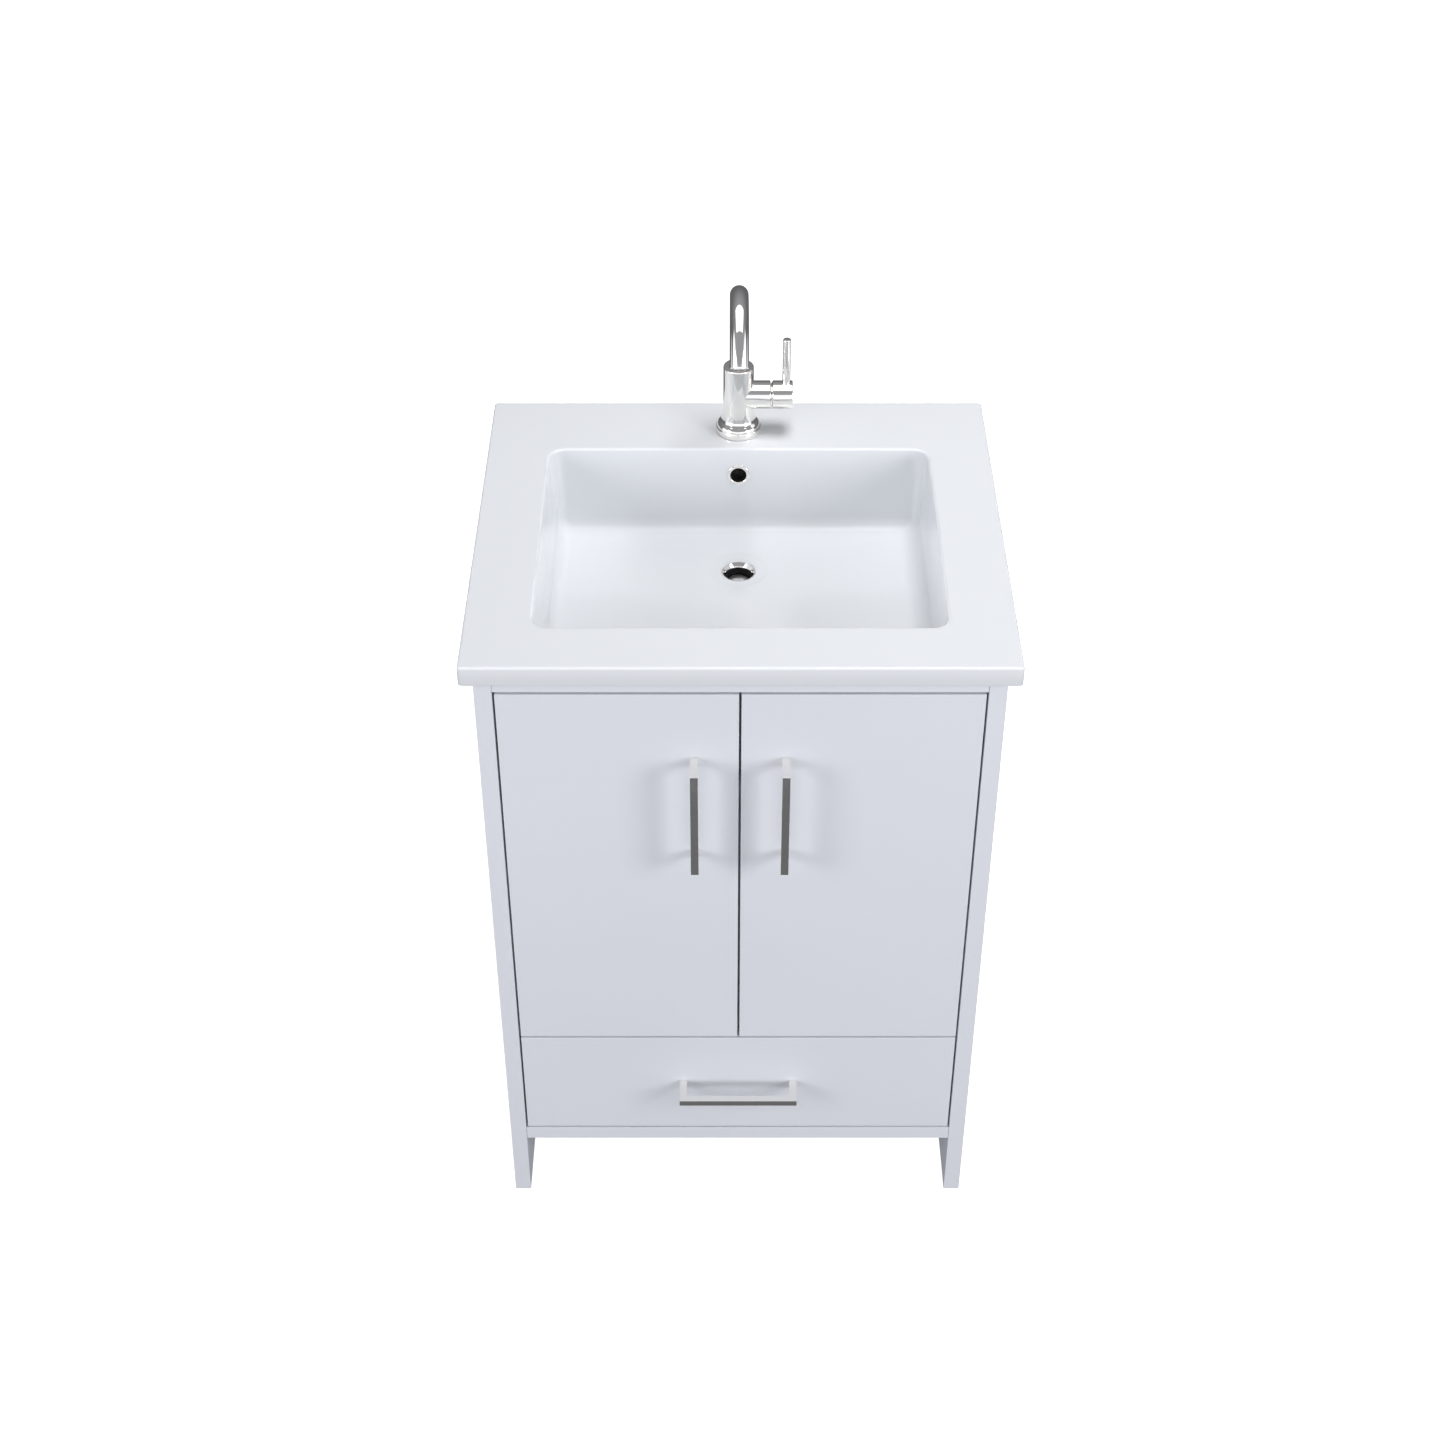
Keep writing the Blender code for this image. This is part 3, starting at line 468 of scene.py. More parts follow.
def sink_top():
    """The moulded top: slab, basin, drain seat, and the overflow duct behind and under the bowl."""
    top = loft("sink_top_moulding", sink_rings())
    duct_half, shell, back = 0.020, 0.003, 0.190
    chamber = (0.730, 0.740)
    outer = duct_half + shell
    outside = bar("duct", (-outer, 0.173, BOSS_UNDER), (outer, back + shell, SLAB_UNDER + 0.004))
    channel = bar("channel", (-outer, DRAIN_Y, BOSS_UNDER + 0.0002),
                  (outer, back + shell - 0.0005, BOWL_UNDER + 0.002))
    drain_hole = rod("drain_hole", (0, DRAIN_Y, BOSS_UNDER - 0.010), 0.0400, DRAIN_HOLE + 0.0002,
                     steps=104)
    apply_booleans(
        top,
        ("UNION", outside), ("UNION", channel),
        ("DIFFERENCE", drain_hole),
        ("DIFFERENCE", bar("chamber", (-duct_half, DRAIN_Y, chamber[0]),
                           (duct_half, back - 0.001, chamber[1]))),
        ("DIFFERENCE", bar("duct_hollow", (-duct_half + 0.001, 0.180, chamber[0] + 0.001),
                           (duct_half - 0.001, back, SLAB_UNDER))),
        ("DIFFERENCE", rod("overflow_hole", (0, 0.160, OVERFLOW_Z), 0.025, 0.0129, "Y")),
        ("DIFFERENCE", rod("tap_hole", (0, TAP_Y, SLAB_UNDER - 0.010), 0.060, 0.0175)))
    stand_for(smooth(top, 30), "sink_top")


# ---- overflow and drain
def crossed_slots(half_width, low, high):
    """Two boxes through the drain's axis, at right angles, as cutting steps."""
    reach = 0.020
    return [("DIFFERENCE", bar("slot", (-x, DRAIN_Y - y, low), (x, DRAIN_Y + y, high)))
            for x, y in ((reach, half_width), (half_width, reach))]


def overflow_ring():
    """A pressed ring with a rolled lip. It leans with the basin's back wall."""
    lip = arc((0.0128, -0.0009), 0.0011, 0, -110, 6) + arc((0.0107, -0.0009), 0.0011, -70, -180, 6)
    profile = [(0.0139, -0.0003)] + lip + [(0.0096, 0.0075), (0.0120, 0.0075), (0.0120, -0.0003)]
    ring = lathe("overflow_trim", profile, (0, OVERFLOW_Y, OVERFLOW_Z), "Y", tilt=WALL_LEAN)
    stand_for(ring, "overflow_ring")


def drain():
    rim, throat, tube, tail, bore = DRAIN_RIM - 0.0006, 0.016, 0.0175, 0.0159, 0.0143
    profile = [(0.0196, rim), (0.0200, rim - 0.0005), (0.0200, rim - 0.0034), (tube, rim - 0.0034)]
    thread_start, thread_end, pitch = 0.7215, 0.698, 0.0015
    turns = int((thread_start - thread_end) / pitch)
    for turn in range(turns):
        z = thread_start - turn * pitch
        profile += [(tube, z), (tube, z - pitch * 0.3), (tube - 0.0006, z - pitch * 0.6)]
    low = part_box("drain_body")[0].z
    profile += [(tube, thread_end - 0.001), (tail + 0.0004, 0.6945), (tail, 0.693), (tail, low), (bore, low),
                (bore, 0.693), (throat, 0.697), (throat, rim - 0.0056)]
    profile += [(0.0164, rim - 0.0046), (0.0176, rim - 0.0030), (0.0190, rim - 0.0008)]
    body = lathe("drain_fitting", profile, (0, DRAIN_Y, 0))
    spider = bar("spider", (-0.0165, DRAIN_Y - 0.003, 0.705), (0.0165, DRAIN_Y + 0.003, 0.709))
    stem = rod("stem", (0, DRAIN_Y, 0.700), 0.014, 0.0023, steps=24)
    apply_booleans(body, *crossed_slots(0.006, 0.731, 0.739), ("UNION", spider), ("DIFFERENCE", stem))
    stand_for(smooth(body, 30), "drain_body")

    low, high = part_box("drain_stopper")
    top = high.z
    dome = [(0, top), (0.0060, top - 0.0003), (0.0110, top - 0.0008), (0.0136, top - 0.0014)]
    profile = dome + arc((0.0138, top - 0.0026), 0.0008, 80, -80, 5)
    profile += [(0.0020, top - 0.0054), (0.0020, low.z), (0, low.z)]
    plug = stand_for(lathe("stopper_plug", profile, (0, DRAIN_Y, 0)), "drain_stopper")
    plug.data.materials[0] = SATIN


# ---- tap
TAP_LOW, TAP_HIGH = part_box("tap_body")
TAP_Y = 0.219
TAP_RADIUS = 0.0185
VALVE_Z = 0.9255
VALVE_RADIUS = 0.0172
SPOUT_START = 0.9395


def tap_body():
    deck, top, shank = SINK_HIGH.z, TAP_HIGH.z, 0.0165
    socket, bore, socket_end = 0.0113, 0.009, 0.9385
    profile = [(socket, top)] + arc((TAP_RADIUS - 0.0012, top - 0.0012), 0.0012, 90, 0, 4)
    profile += [(TAP_RADIUS, deck + 0.036), (0.01862, deck + 0.030), (0.0190, deck + 0.0250),
                (0.0198, deck + 0.0195), (0.0210, deck + 0.0165), (0.0226, deck + 0.0148),
                (0.0243, deck + 0.0132), (0.0256, deck + 0.0114), (0.0262, deck + 0.0094),
                (0.0263, deck + 0.0084), (0.0259, deck + 0.0078)]
    profile += arc((0.0265, deck + 0.0066), 0.0010, 90, 0, 4)
    profile += arc((0.0267, deck + 0.0013), 0.0008, 0, -80, 3)
    profile += [(0.0252, deck + 0.0003), (0.0252, deck + 0.0018), (shank, deck + 0.0018)]
    thread_start, pitch = 0.849, 0.0015
    for turn in range(int((thread_start - TAP_LOW.z) / pitch) - 1):
        z = thread_start - turn * pitch
        profile += [(shank, z), (shank, z - pitch * 0.3), (shank - 0.0006, z - pitch * 0.6)]
    profile += [(shank - 0.0006, TAP_LOW.z), (bore, TAP_LOW.z), (bore, socket_end), (socket, socket_end)]
    body = lathe("tap_column", profile, (0, TAP_Y, 0), steps=128)
    end = TAP_HIGH.x
    barrel_profile = [(0, 0.001), (VALVE_RADIUS, 0.001)]
    barrel_profile += arc((VALVE_RADIUS - 0.0010, end - 0.0010), 0.0010, 0, 90, 4) + [(0, end)]
    barrel = lathe("barrel", barrel_profile, (0, TAP_Y, VALVE_Z), "X", steps=128)
    apply_booleans(
        body,
        ("UNION", barrel),
        ("DIFFERENCE", rod("port", (0.0021, TAP_Y, VALVE_Z), 0.0140, 0.0060, "X", 32)),
        ("DIFFERENCE", rod("cartridge_bore", (0.0155, TAP_Y, VALVE_Z), 0.030, 0.0140, "X", 64)))
    stand_for(smooth(body, 30), "tap_body")


def tap_lever():
    low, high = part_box("tap_hub")
    start, end = low.x, high.x
    profile = [(0, start), (0.0143, start), (0.0146, start + 0.0012), (VALVE_RADIUS - 0.0010, start + 0.0018)]
    profile += arc((VALVE_RADIUS - 0.0006, start + 0.0026), 0.0006, -60, 0, 3)
    profile += arc((VALVE_RADIUS - 0.0010, end - 0.0010), 0.0010, 0, 90, 4) + [(0, end)]
    hub = lathe("lever_hub", profile, (0, TAP_Y, VALVE_Z), "X", steps=128)
    rod_low, rod_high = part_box("tap_lever")
    middle_x = (rod_low.x + rod_high.x) / 2
    radius = (rod_high.x - rod_low.x) / 2
    apply_booleans(
        hub,
        ("DIFFERENCE", rod("spindle", (start - 0.002, TAP_Y, VALVE_Z), 0.013, 0.0053, "X", 32)),
        ("DIFFERENCE", rod("socket", (middle_x, TAP_Y, VALVE_Z + 0.008), 0.020, radius + 0.0002)))
    stand_for(smooth(hub, 30), "tap_hub")
    profile = [(0, rod_high.z)] + arc((radius - 0.0009, rod_high.z - 0.0009), 0.0009, 90, 0, 4)
    profile += [(radius, rod_low.z), (0, rod_low.z)]
    stand_for(lathe("lever_rod", profile, (middle_x, TAP_Y, 0), steps=64), "tap_lever")


def spout_stations():
    """Centre, lean and outer radius of each ring along the gooseneck: straight up out of its socket,
    round a bend, and down to the outlet with a slower bend. The lean is 0 on the way up."""
    bend, sweep, bend_z, tip_bend, tip_sweep = 0.062, 142, 1.0250, 0.2055, 9
    stations = [(TAP_Y, SPOUT_START, 0), (TAP_Y, (SPOUT_START + bend_z) / 2, 0)]
    steps, tip_steps = 68, 12
    for step in range(steps + 1):
        turn = math.radians(sweep * step / steps)
        stations.append((TAP_Y - bend + bend * math.cos(turn), bend_z + bend * math.sin(turn), turn))
    y, z, turn = stations[-1]
    middle = (y - tip_bend * math.cos(turn), z - tip_bend * math.sin(turn))
    for step in range(1, tip_steps + 1):
        turn = math.radians(sweep + tip_sweep * step / tip_steps)
        stations.append((middle[0] + tip_bend * math.cos(turn), middle[1] + tip_bend * math.sin(turn), turn))
    return stations


def tap_spout():
    outlet = spout_stations()[-1]
    radius, bore = 0.01098, 0.0092
    onward = Vector((0, -math.sin(outlet[2]), math.cos(outlet[2])))
    rings = [(Vector((0, y, z)), turn, radius) for y, z, turn in spout_stations()]
    end = rings[-1][0]
    rings[-1] = (end - onward * 0.0009, outlet[2], radius)
    for back, size in ((0.0004, radius - 0.0002), (0.0001, radius - 0.0005), (0, radius - 0.0009),
                       (0.0001, bore + 0.0004), (0.0005, bore), (0.0080, bore)):
        rings.append((end - onward * back, outlet[2], size))
    bm = bmesh.new()
    steps = 72
    loops = []
    for place, turn, size in rings:
        loop = []
        for step in range(steps):
            angle = 2 * math.pi * step / steps
            out = size * math.sin(angle)
            point = Vector((size * math.cos(angle), out * math.cos(turn), out * math.sin(turn)))
            loop.append(bm.verts.new(place + point))
        loops.append(loop)
    for loop, following in zip(loops, loops[1:]):
        for index in range(steps):
            after = (index + 1) % steps
            bm.faces.new((loop[index], loop[after], following[after], following[index]))
    bm.faces.new(loops[0][::-1])
    bm.faces.new(loops[-1])
    bmesh.ops.recalc_face_normals(bm, faces=bm.faces)
    stand_for(smooth(link_mesh("spout_tube", bm), 30), "tap_spout")

    profile = [(0.0085, 0.0068), (0.0085, 0.0008), (0.0082, 0.0004), (0.0074, 0.0004), (0.0070, 0.0010)]
    for groove in range(4):
        r = 0.0066 - groove * 0.0016
        profile += [(r, 0.0012), (r - 0.0003, 0.0020), (r - 0.0008, 0.0020), (r - 0.0011, 0.0012)]
    profile += [(0, 0.0012), (0, 0.0068)]
    lean = Matrix.Rotation(outlet[2] - math.pi, 4, "X")
    stand_for(lathe("outlet_insert", profile, end, steps=48, tilt=lean), "spout_aerator")


# ---- pulls
PULL_SECTION = 0.009
PULL_SCREW = (0.0040, 0.0020)  # radius and height of the head
PAST = 0.01  # how far a cutter runs out of the metal


def pulls():
    for node in ("left_door_handle", "right_door_handle", "drawer_handle"):
        low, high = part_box(node)
        long_x = high.x - low.x > high.z - low.z
        inset = Vector((PULL_SECTION, 0, -PAST) if long_x else (-PAST, 0, PULL_SECTION))
        gap_low = Vector((low.x, low.y + PULL_SECTION, low.z)) + inset
        gap_high = Vector((high.x, high.y + PAST, high.z)) - inset
        pull = bar(node + "_bar", low, high)
        apply_booleans(pull, ("DIFFERENCE", bar("gap", gap_low, gap_high)))
        stand_for(soften(pull, 0.0006), node)


# ---- screws
INWARD = {-1: "X", 1: "-X"}  # the axis that points in from a side, by its sign


def screw_head(name, place, axis, radius, height, body, sunk=False):
    """A zinc screw head with a cross recess. Its foot is at place and it points along an axis."""
    if sunk:
        profile = [(0, height), (radius - 0.0003, height), (radius, height - 0.0002), (radius * 0.55, 0),
                   (0, 0)]
    else:
        crown = [(radius * 0.45, height * 0.98), (radius * 0.8, height * 0.82), (radius, height * 0.45)]
        profile = [(0, height)] + crown + [(radius, 0), (0, 0)]
    head = lathe(name, profile, (0, 0, 0), steps=24)
    arm, thin, deep = radius * 0.62, radius * 0.15, radius * 0.35
    for x, y in ((arm, thin), (thin, arm)):
        cross = bar("cross", (-x, -y, height - deep), (x, y, height + 0.001))
        apply_booleans(head, ("DIFFERENCE", cross))
    turn = axis_matrix(axis[-1])
    if axis.startswith("-"):
        turn = turn @ Matrix.Rotation(math.pi, 4, "X")
    head.data.transform(Matrix.Translation(place) @ turn)
    return finish_piece(smooth(head, 30), "zinc_steel", body)


def pull_screws():
    """Each pull is held by two screws from behind."""
    for side, _ in SIDES:
        low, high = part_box(f"{side}_door_handle")
        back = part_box(f"{side}_door_panel")[1].y
        for level, z in (("upper", high.z - PULL_SECTION / 2), ("lower", low.z + PULL_SECTION / 2)):
            screw_head(f"{side}_{level}_pull_screw", ((low.x + high.x) / 2, back, z), "Y", *PULL_SCREW,
                       NODE_BODY[f"{side}_door_panel"])
    low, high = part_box("drawer_handle")
    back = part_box("drawer_inner_front")[1].y
    for side, x in (("left", low.x + PULL_SECTION / 2), ("right", high.x - PULL_SECTION / 2)):
        screw_head(f"{side}_drawer_pull_screw", (x, back, (low.z + high.z) / 2), "Y", *PULL_SCREW,
                   NODE_BODY["drawer_inner_front"])


COVER_LIMIT = 0.262  # a rear cover is set in from here at most


def carcass_fixings():
    """Back panel screws, and the cam covers over the joints of the floor and divider boards."""
    low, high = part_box("back_panel")
    from_edge = 0.012
    rows = [low.z + from_edge + (high.z - low.z - 2 * from_edge) * step / 3 for step in range(4)]
    for side, sign in SIDES:
        for row, z in enumerate(rows):
            screw_head(f"{side}_back_screw_{row}", (sign * (high.x - 0.010), high.y - 0.0006, z), "Y", 0.0035,
                       0.0009, NODE_BODY["back_panel"], sunk=True)
    for board_name in ("floor_panel", "divider_panel"):
        low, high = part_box(board_name)
        for side, sign in SIDES:
            for place, y in (("front", low.y + 0.060), ("back", min(high.y, COVER_LIMIT) - 0.060)):
                profile = [(0, 0.0007), (0.0068, 0.0007), (0.0076, 0.0002), (0.0076, -0.0010), (0, -0.0010)]
                cover = lathe(f"{board_name}_{side}_{place}_cover", profile, (0, 0, 0), steps=32)
                slot_cut = bar("slot", (-0.0045, -0.0006, 0.0004), (0.0045, 0.0006, 0.002))
                apply_booleans(cover, ("DIFFERENCE", slot_cut))
                down = Matrix.Rotation(math.pi, 4, "X")
                cover.data.transform(Matrix.Translation((sign * (high.x - 0.034), y, low.z)) @ down)
                finish_piece(smooth(cover, 30), "white_paint", NODE_BODY[board_name])


# ---- hinges
def cad_copy(name, node):
    """A clean copy of a CAD part's own shape, to be worked on further."""
    bm = bmesh.new()
    bm.from_mesh(frame["nodes"][node].data)
    bmesh.ops.remove_doubles(bm, verts=bm.verts, dist=0.00001)
    bmesh.ops.dissolve_limit(bm, angle_limit=math.radians(1), verts=bm.verts, edges=bm.edges)
    return link_mesh(name, bm)


PANEL_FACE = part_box("right_side_panel")[0].x  # the side panels' inner faces, either side


def inward(sign, u_low, u_high, y_low, y_high, z_low, z_high):
    """Corners of a box that lies u in from a side panel's inner face."""
    x_low, x_high = sorted((sign * (PANEL_FACE - u_low), sign * (PANEL_FACE - u_high)))
    return (x_low, y_low, z_low), (x_high, y_high, z_high)


def hinge_cup(name):
    """A pressed cup with a rolled rim, and an oval flange held by two countersunk screws."""
    node = name + "_cup"
    low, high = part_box(node)
    middle = (low + high) / 2
    radius, depth = (high.x - low.x) / 2, high.y - low.y
    wall = base = 0.0008
    profile = [(0, base), (radius - 0.0036, base)]
    profile += arc((radius - wall - 0.0020, base + 0.0020), 0.0020, -80, 0, 4)
    profile += [(radius - wall, depth - 0.0005), (radius - wall * 0.6, depth),
                (radius - 0.0002, depth - 0.0002), (radius, depth - 0.0008), (radius, 0.0030)]
    profile += arc((radius - 0.0026, 0.0026), 0.0026, 0, -90, 5) + [(0, 0)]
    cup = lathe(node + "_pressing", profile, (middle.x, low.y, middle.z), "Y", steps=72)
    flange_z = high.z - middle.z
    flange = bar("flange", (middle.x - 0.0065, high.y - 0.0012, low.z), (middle.x + 0.0065, high.y, high.z))
    soften(flange, 0.0004, 2)
    inner = rod("inner", (middle.x, high.y - 0.004, middle.z), 0.010, radius - wall, "Y", 72)
    screws = []
    for up in (-1, 1):
        place = (middle.x, high.y - 0.0011, middle.z + up * (flange_z - 0.0060))
        screws.append(("DIFFERENCE", rod("hole", place, 0.003, 0.0033, "Y", 32)))
        screw_head(f"{node}_screw_{up}", place, "Y", 0.0031, 0.0010, NODE_BODY[node], sunk=True)
    apply_booleans(cup, ("UNION", flange), ("DIFFERENCE", inner), *screws)
    stand_for(smooth(cup, 30), node)


def hinge_arm(name, sign):
    """The gooseneck arm, with a channel along its straight run that carries the two adjusting screws."""
    node = name + "_arm"
    body = NODE_BODY[node]
    low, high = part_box(node)
    middle_z = (low.z + high.z) / 2
    stand_for(soften(cad_copy(node + "_strap", node), 0.0003, 2, 40), node)
    start, end, under, over = high.y - 0.036, high.y, 0.0064, 0.0090
    half = (high.z - low.z) / 2
    cover = bar(node + "_cover", *inward(sign, under, over, start, end, low.z, high.z))
    gap = bar("gap", *inward(sign, under - 0.001, over - 0.0009, start - 0.001, end + 0.001,
                             low.z + 0.0011, high.z - 0.0011))
    holes = []
    through = over + 0.002
    foot_x = sign * (PANEL_FACE - under)
    hole_x = min(foot_x, sign * (PANEL_FACE - over - 0.002))
    for label, y in (("depth", start + 0.010), ("fixing", end - 0.009)):
        hole = rod("hole", (hole_x, y, middle_z), through - under, half * 0.66, "X", 32)
        holes.append(("DIFFERENCE", hole))
        screw_head(f"{node}_{label}_screw", (foot_x, y, middle_z), INWARD[sign], half * 0.60, 0.0022, body)
    apply_booleans(cover, ("DIFFERENCE", gap), *holes)
    finish_piece(soften(cover, 0.00025, 2), "zinc_steel", body)


def hinge_plate(name, sign):
    """The wing plate on the side panel, with its two wood screws."""
    node = name + "_plate"
    low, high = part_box(node)
    middle_z = (low.z + high.z) / 2
    wing_y = low.y + 0.020
    wing_half = (high.z - low.z) / 2 - 0.0075
    plate = cad_copy(node + "_pressing", node)
    steps = []
    start = min(sign * (PANEL_FACE - 0.0012), sign * (PANEL_FACE - 0.0050))
    for up in (-1, 1):
        z = middle_z + up * wing_half
        steps.append(("DIFFERENCE", rod("hole", (start, wing_y, z), 0.0038, 0.0038, "X", 32)))
        screw_head(f"{node}_screw_{up}", (sign * (PANEL_FACE - 0.0013), wing_y, z), INWARD[sign],
                   0.0036, 0.0014, NODE_BODY[node], sunk=True)
    apply_booleans(plate, *steps)
    stand_for(soften(plate, 0.00025, 2, 40), node)


def hinge_pin(name):
    """The pin with peened heads."""
    node = name + "_pin"
    low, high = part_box(node)
    middle = (low + high) / 2
    radius, length = (high.x - low.x) / 2, high.z - low.z
    profile = [(0, 0), (radius * 0.55, 0.0001), (radius, 0.0005), (radius, 0.0024), (radius * 0.86, 0.0028),
               (radius * 0.86, length - 0.0028), (radius, length - 0.0024), (radius, length - 0.0005),
               (radius * 0.55, length - 0.0001), (0, length)]
    stand_for(lathe(node + "_rivet", profile, (middle.x, middle.y, low.z), steps=24), node)


def hinges():
    for side, sign in SIDES:
        for level in LEVELS:
            name = f"{side}_{level}_hinge"
            hinge_cup(name)
            hinge_arm(name, sign)
            hinge_plate(name, sign)
            hinge_pin(name)


# ---- drawer runners
BALL = 0.00118
BALL_PITCH = 0.0042
BALLS = 12
METAL = 0.0012  # thickness of the runners' sheet
BALL_X = 0.2626  # distances from the middle: outer ball rows,
RAIL_X = 0.2707  # outside of the rail's web,
SLIDE_X = 0.2583  # inside of the drawer member's web


def ball_row(name, x, z, start, body):
    """A row of balls in a pressed retainer strip."""
    bm = bmesh.new()
    for ball in range(BALLS):
        place = Matrix.Translation((x, start + BALL_PITCH * (ball + 0.5), z))
        bmesh.ops.create_uvsphere(bm, u_segments=10, v_segments=7, radius=BALL, matrix=place)
    row = smooth(link_mesh(name, bm), 60)
    finish_piece(row, "zinc_steel", body)


def runners():
    for side, sign in SIDES:
        rail, carriage, slide = nodes = [f"{side}_runner_{part}" for part in ("rail", "carriage", "slide")]
        for node in nodes:
            stand_for(soften(cad_copy(node + "_channel", node), 0.00035, 2, 40), node)
        rail_low, rail_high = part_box(rail)
        low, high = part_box(carriage)
        slide_low, slide_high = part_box(slide)
        middle_z = (low.z + high.z) / 2
        half_rail, half, half_slide = (top.z - middle_z for top in (rail_high, high, slide_high))
        body = NODE_BODY[carriage]
        x = sign * BALL_X
        for group, start in enumerate((low.y + 0.012, (low.y + high.y) / 2 - 0.025, high.y - 0.064)):
            for up in (-1, 1):
                outer = middle_z + up * (half + half_rail - METAL) / 2
                inner = middle_z + up * (half - METAL + half_slide) / 2
                ball_row(f"{carriage}_outer_balls_{group}_{up}", x, outer, start, body)
                ball_row(f"{carriage}_inner_balls_{group}_{up}", x - sign * 0.0004, inner, start, body)
        web = sign * (RAIL_X - METAL)
        for label, y in (("front", rail_low.y + 0.030), ("back", rail_high.y - 0.030)):
            screw_head(f"{rail}_{label}_screw", (web, y, middle_z), INWARD[sign], 0.0034, 0.0014,
                       NODE_BODY[rail])
        web = sign * (SLIDE_X + METAL)
        for label, y in (("front", slide_low.y + 0.045), ("back", slide_high.y - 0.045)):
            screw_head(f"{slide}_{label}_screw", (web, y, middle_z), INWARD[-sign], 0.0034, 0.0012,
                       NODE_BODY[slide])


# ---- nuts, seals and cartridge
def locknut(node, centre, bore):
    """A hexagon with turned chamfers, a washer face and a chamfered bore."""
    low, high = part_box(node)
    height = high.z - low.z
    corner = (high.y - low.y) / 2
    nut = rod(node + "_hexagon", (*centre, low.z), height, corner, steps=6)
    flat = corner * math.cos(math.pi / 6)
    chamfer = (corner - flat) * 0.9
    over, face = corner + 0.0002, flat - 0.0012
    profile = [(0, 0), (corner - chamfer, 0), (over, chamfer * 0.62), (over, height - 0.0014 - chamfer * 0.5),
               (corner - chamfer, height - 0.0008), (face, height - 0.0008), (face, height), (0, height)]
    turned = lathe("turned", profile, (*centre, low.z), steps=72)
    hole = [(0, -0.001), (bore + 0.0008, -0.001), (bore + 0.0008, 0), (bore, 0.0008), (bore, height - 0.0008),
            (bore + 0.0008, height), (bore + 0.0008, height + 0.001), (0, height + 0.001)]
    hole = lathe("hole", hole, (*centre, low.z), steps=72)
    apply_booleans(nut, ("INTERSECT", turned), ("DIFFERENCE", hole))
    stand_for(smooth(nut, 30), node)


def seal(node, centre, inner, ribs):
    """A moulded rubber ring with rounded edges and shallow ribs on its two faces."""
    low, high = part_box(node)
    outer = (high.x - low.x) / 2
    height = high.z - low.z
    soft, groove = min(0.0005, height / 3), min(0.0003, height / 5)
    top = arc((outer - soft, height - soft), soft, 0, 90, 4)
    width = (outer - inner - 4 * soft) / (2 * ribs)
    for rib in range(ribs):
        r = outer - 2 * soft - 2 * width * rib
        top += [(r, height), (r - width * 0.3, height - groove), (r - width, height - groove),
                (r - width * 1.3, height)]
    top += arc((inner + soft, height - soft), soft, 90, 180, 4)
    bottom = [(inner, soft), (inner + soft, 0), (outer - soft, 0), (outer, soft)]
    stand_for(lathe(node + "_ring", top + bottom, (*centre, low.z)), node)


def fittings():
    locknut("drain_locknut", (0, DRAIN_Y), 0.0178)
    locknut("tap_locknut", (0, TAP_Y), 0.0168)
    seal("drain_seal", (0, DRAIN_Y), 0.0180, 3)
    seal("tap_base_seal", (0, TAP_Y), 0.0172, 3)

    low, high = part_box("tap_cartridge")
    start, end, radius = low.x, high.x, (high.z - low.z) / 2
    groove, wire = 0.0008, 0.0006
    profile = [(0, end), (0.0045, end), (0.0049, end - 0.0004), (0.0049, 0.0388), (0.0068, 0.0388),
               (0.0072, 0.0387), (0.0110, 0.0386), (radius - 0.0004, 0.0378), (radius, 0.0372)]
    for place in (0.0340, 0.0250):
        profile += [(radius, place), (radius - groove, place - 0.0002), (radius - groove, place - 0.0024),
                    (radius, place - 0.0026)]
    profile += [(radius, start + 0.0006), (radius - 0.0006, start), (0.0058, start),
                (0.0054, start + 0.0010), (0, start + 0.0010)]
    cartridge = lathe("tap_cartridge_body", profile, (0, TAP_Y, VALVE_Z), "X", steps=64)
    for turn in range(8):
        angle = math.pi * turn / 8
        spline = bar("spline", (0.0440, -0.00035, -0.006), (end + 0.001, 0.00035, 0.006))
        spline.data.transform(Matrix.Translation((0, TAP_Y, VALVE_Z)) @ Matrix.Rotation(angle, 4, "X"))
        core = rod("core", (0.0430, TAP_Y, VALVE_Z), 0.010, 0.0043, "X", 32)
        apply_booleans(spline, ("DIFFERENCE", core))
        apply_booleans(cartridge, ("DIFFERENCE", spline))
    stand_for(smooth(cartridge, 30), "tap_cartridge")
    for ring, place in enumerate((0.0327, 0.0237)):
        profile = arc((radius - groove + 0.0004, 0), wire, 0, 315, 7)
        profile = [(min(r, radius + 0.0002), h) for r, h in profile]
        o_ring = lathe(f"cartridge_o_ring_{ring}", profile, (place, TAP_Y, VALVE_Z), "X", steps=48)
        finish_piece(o_ring, "black_rubber", NODE_BODY["tap_cartridge"])
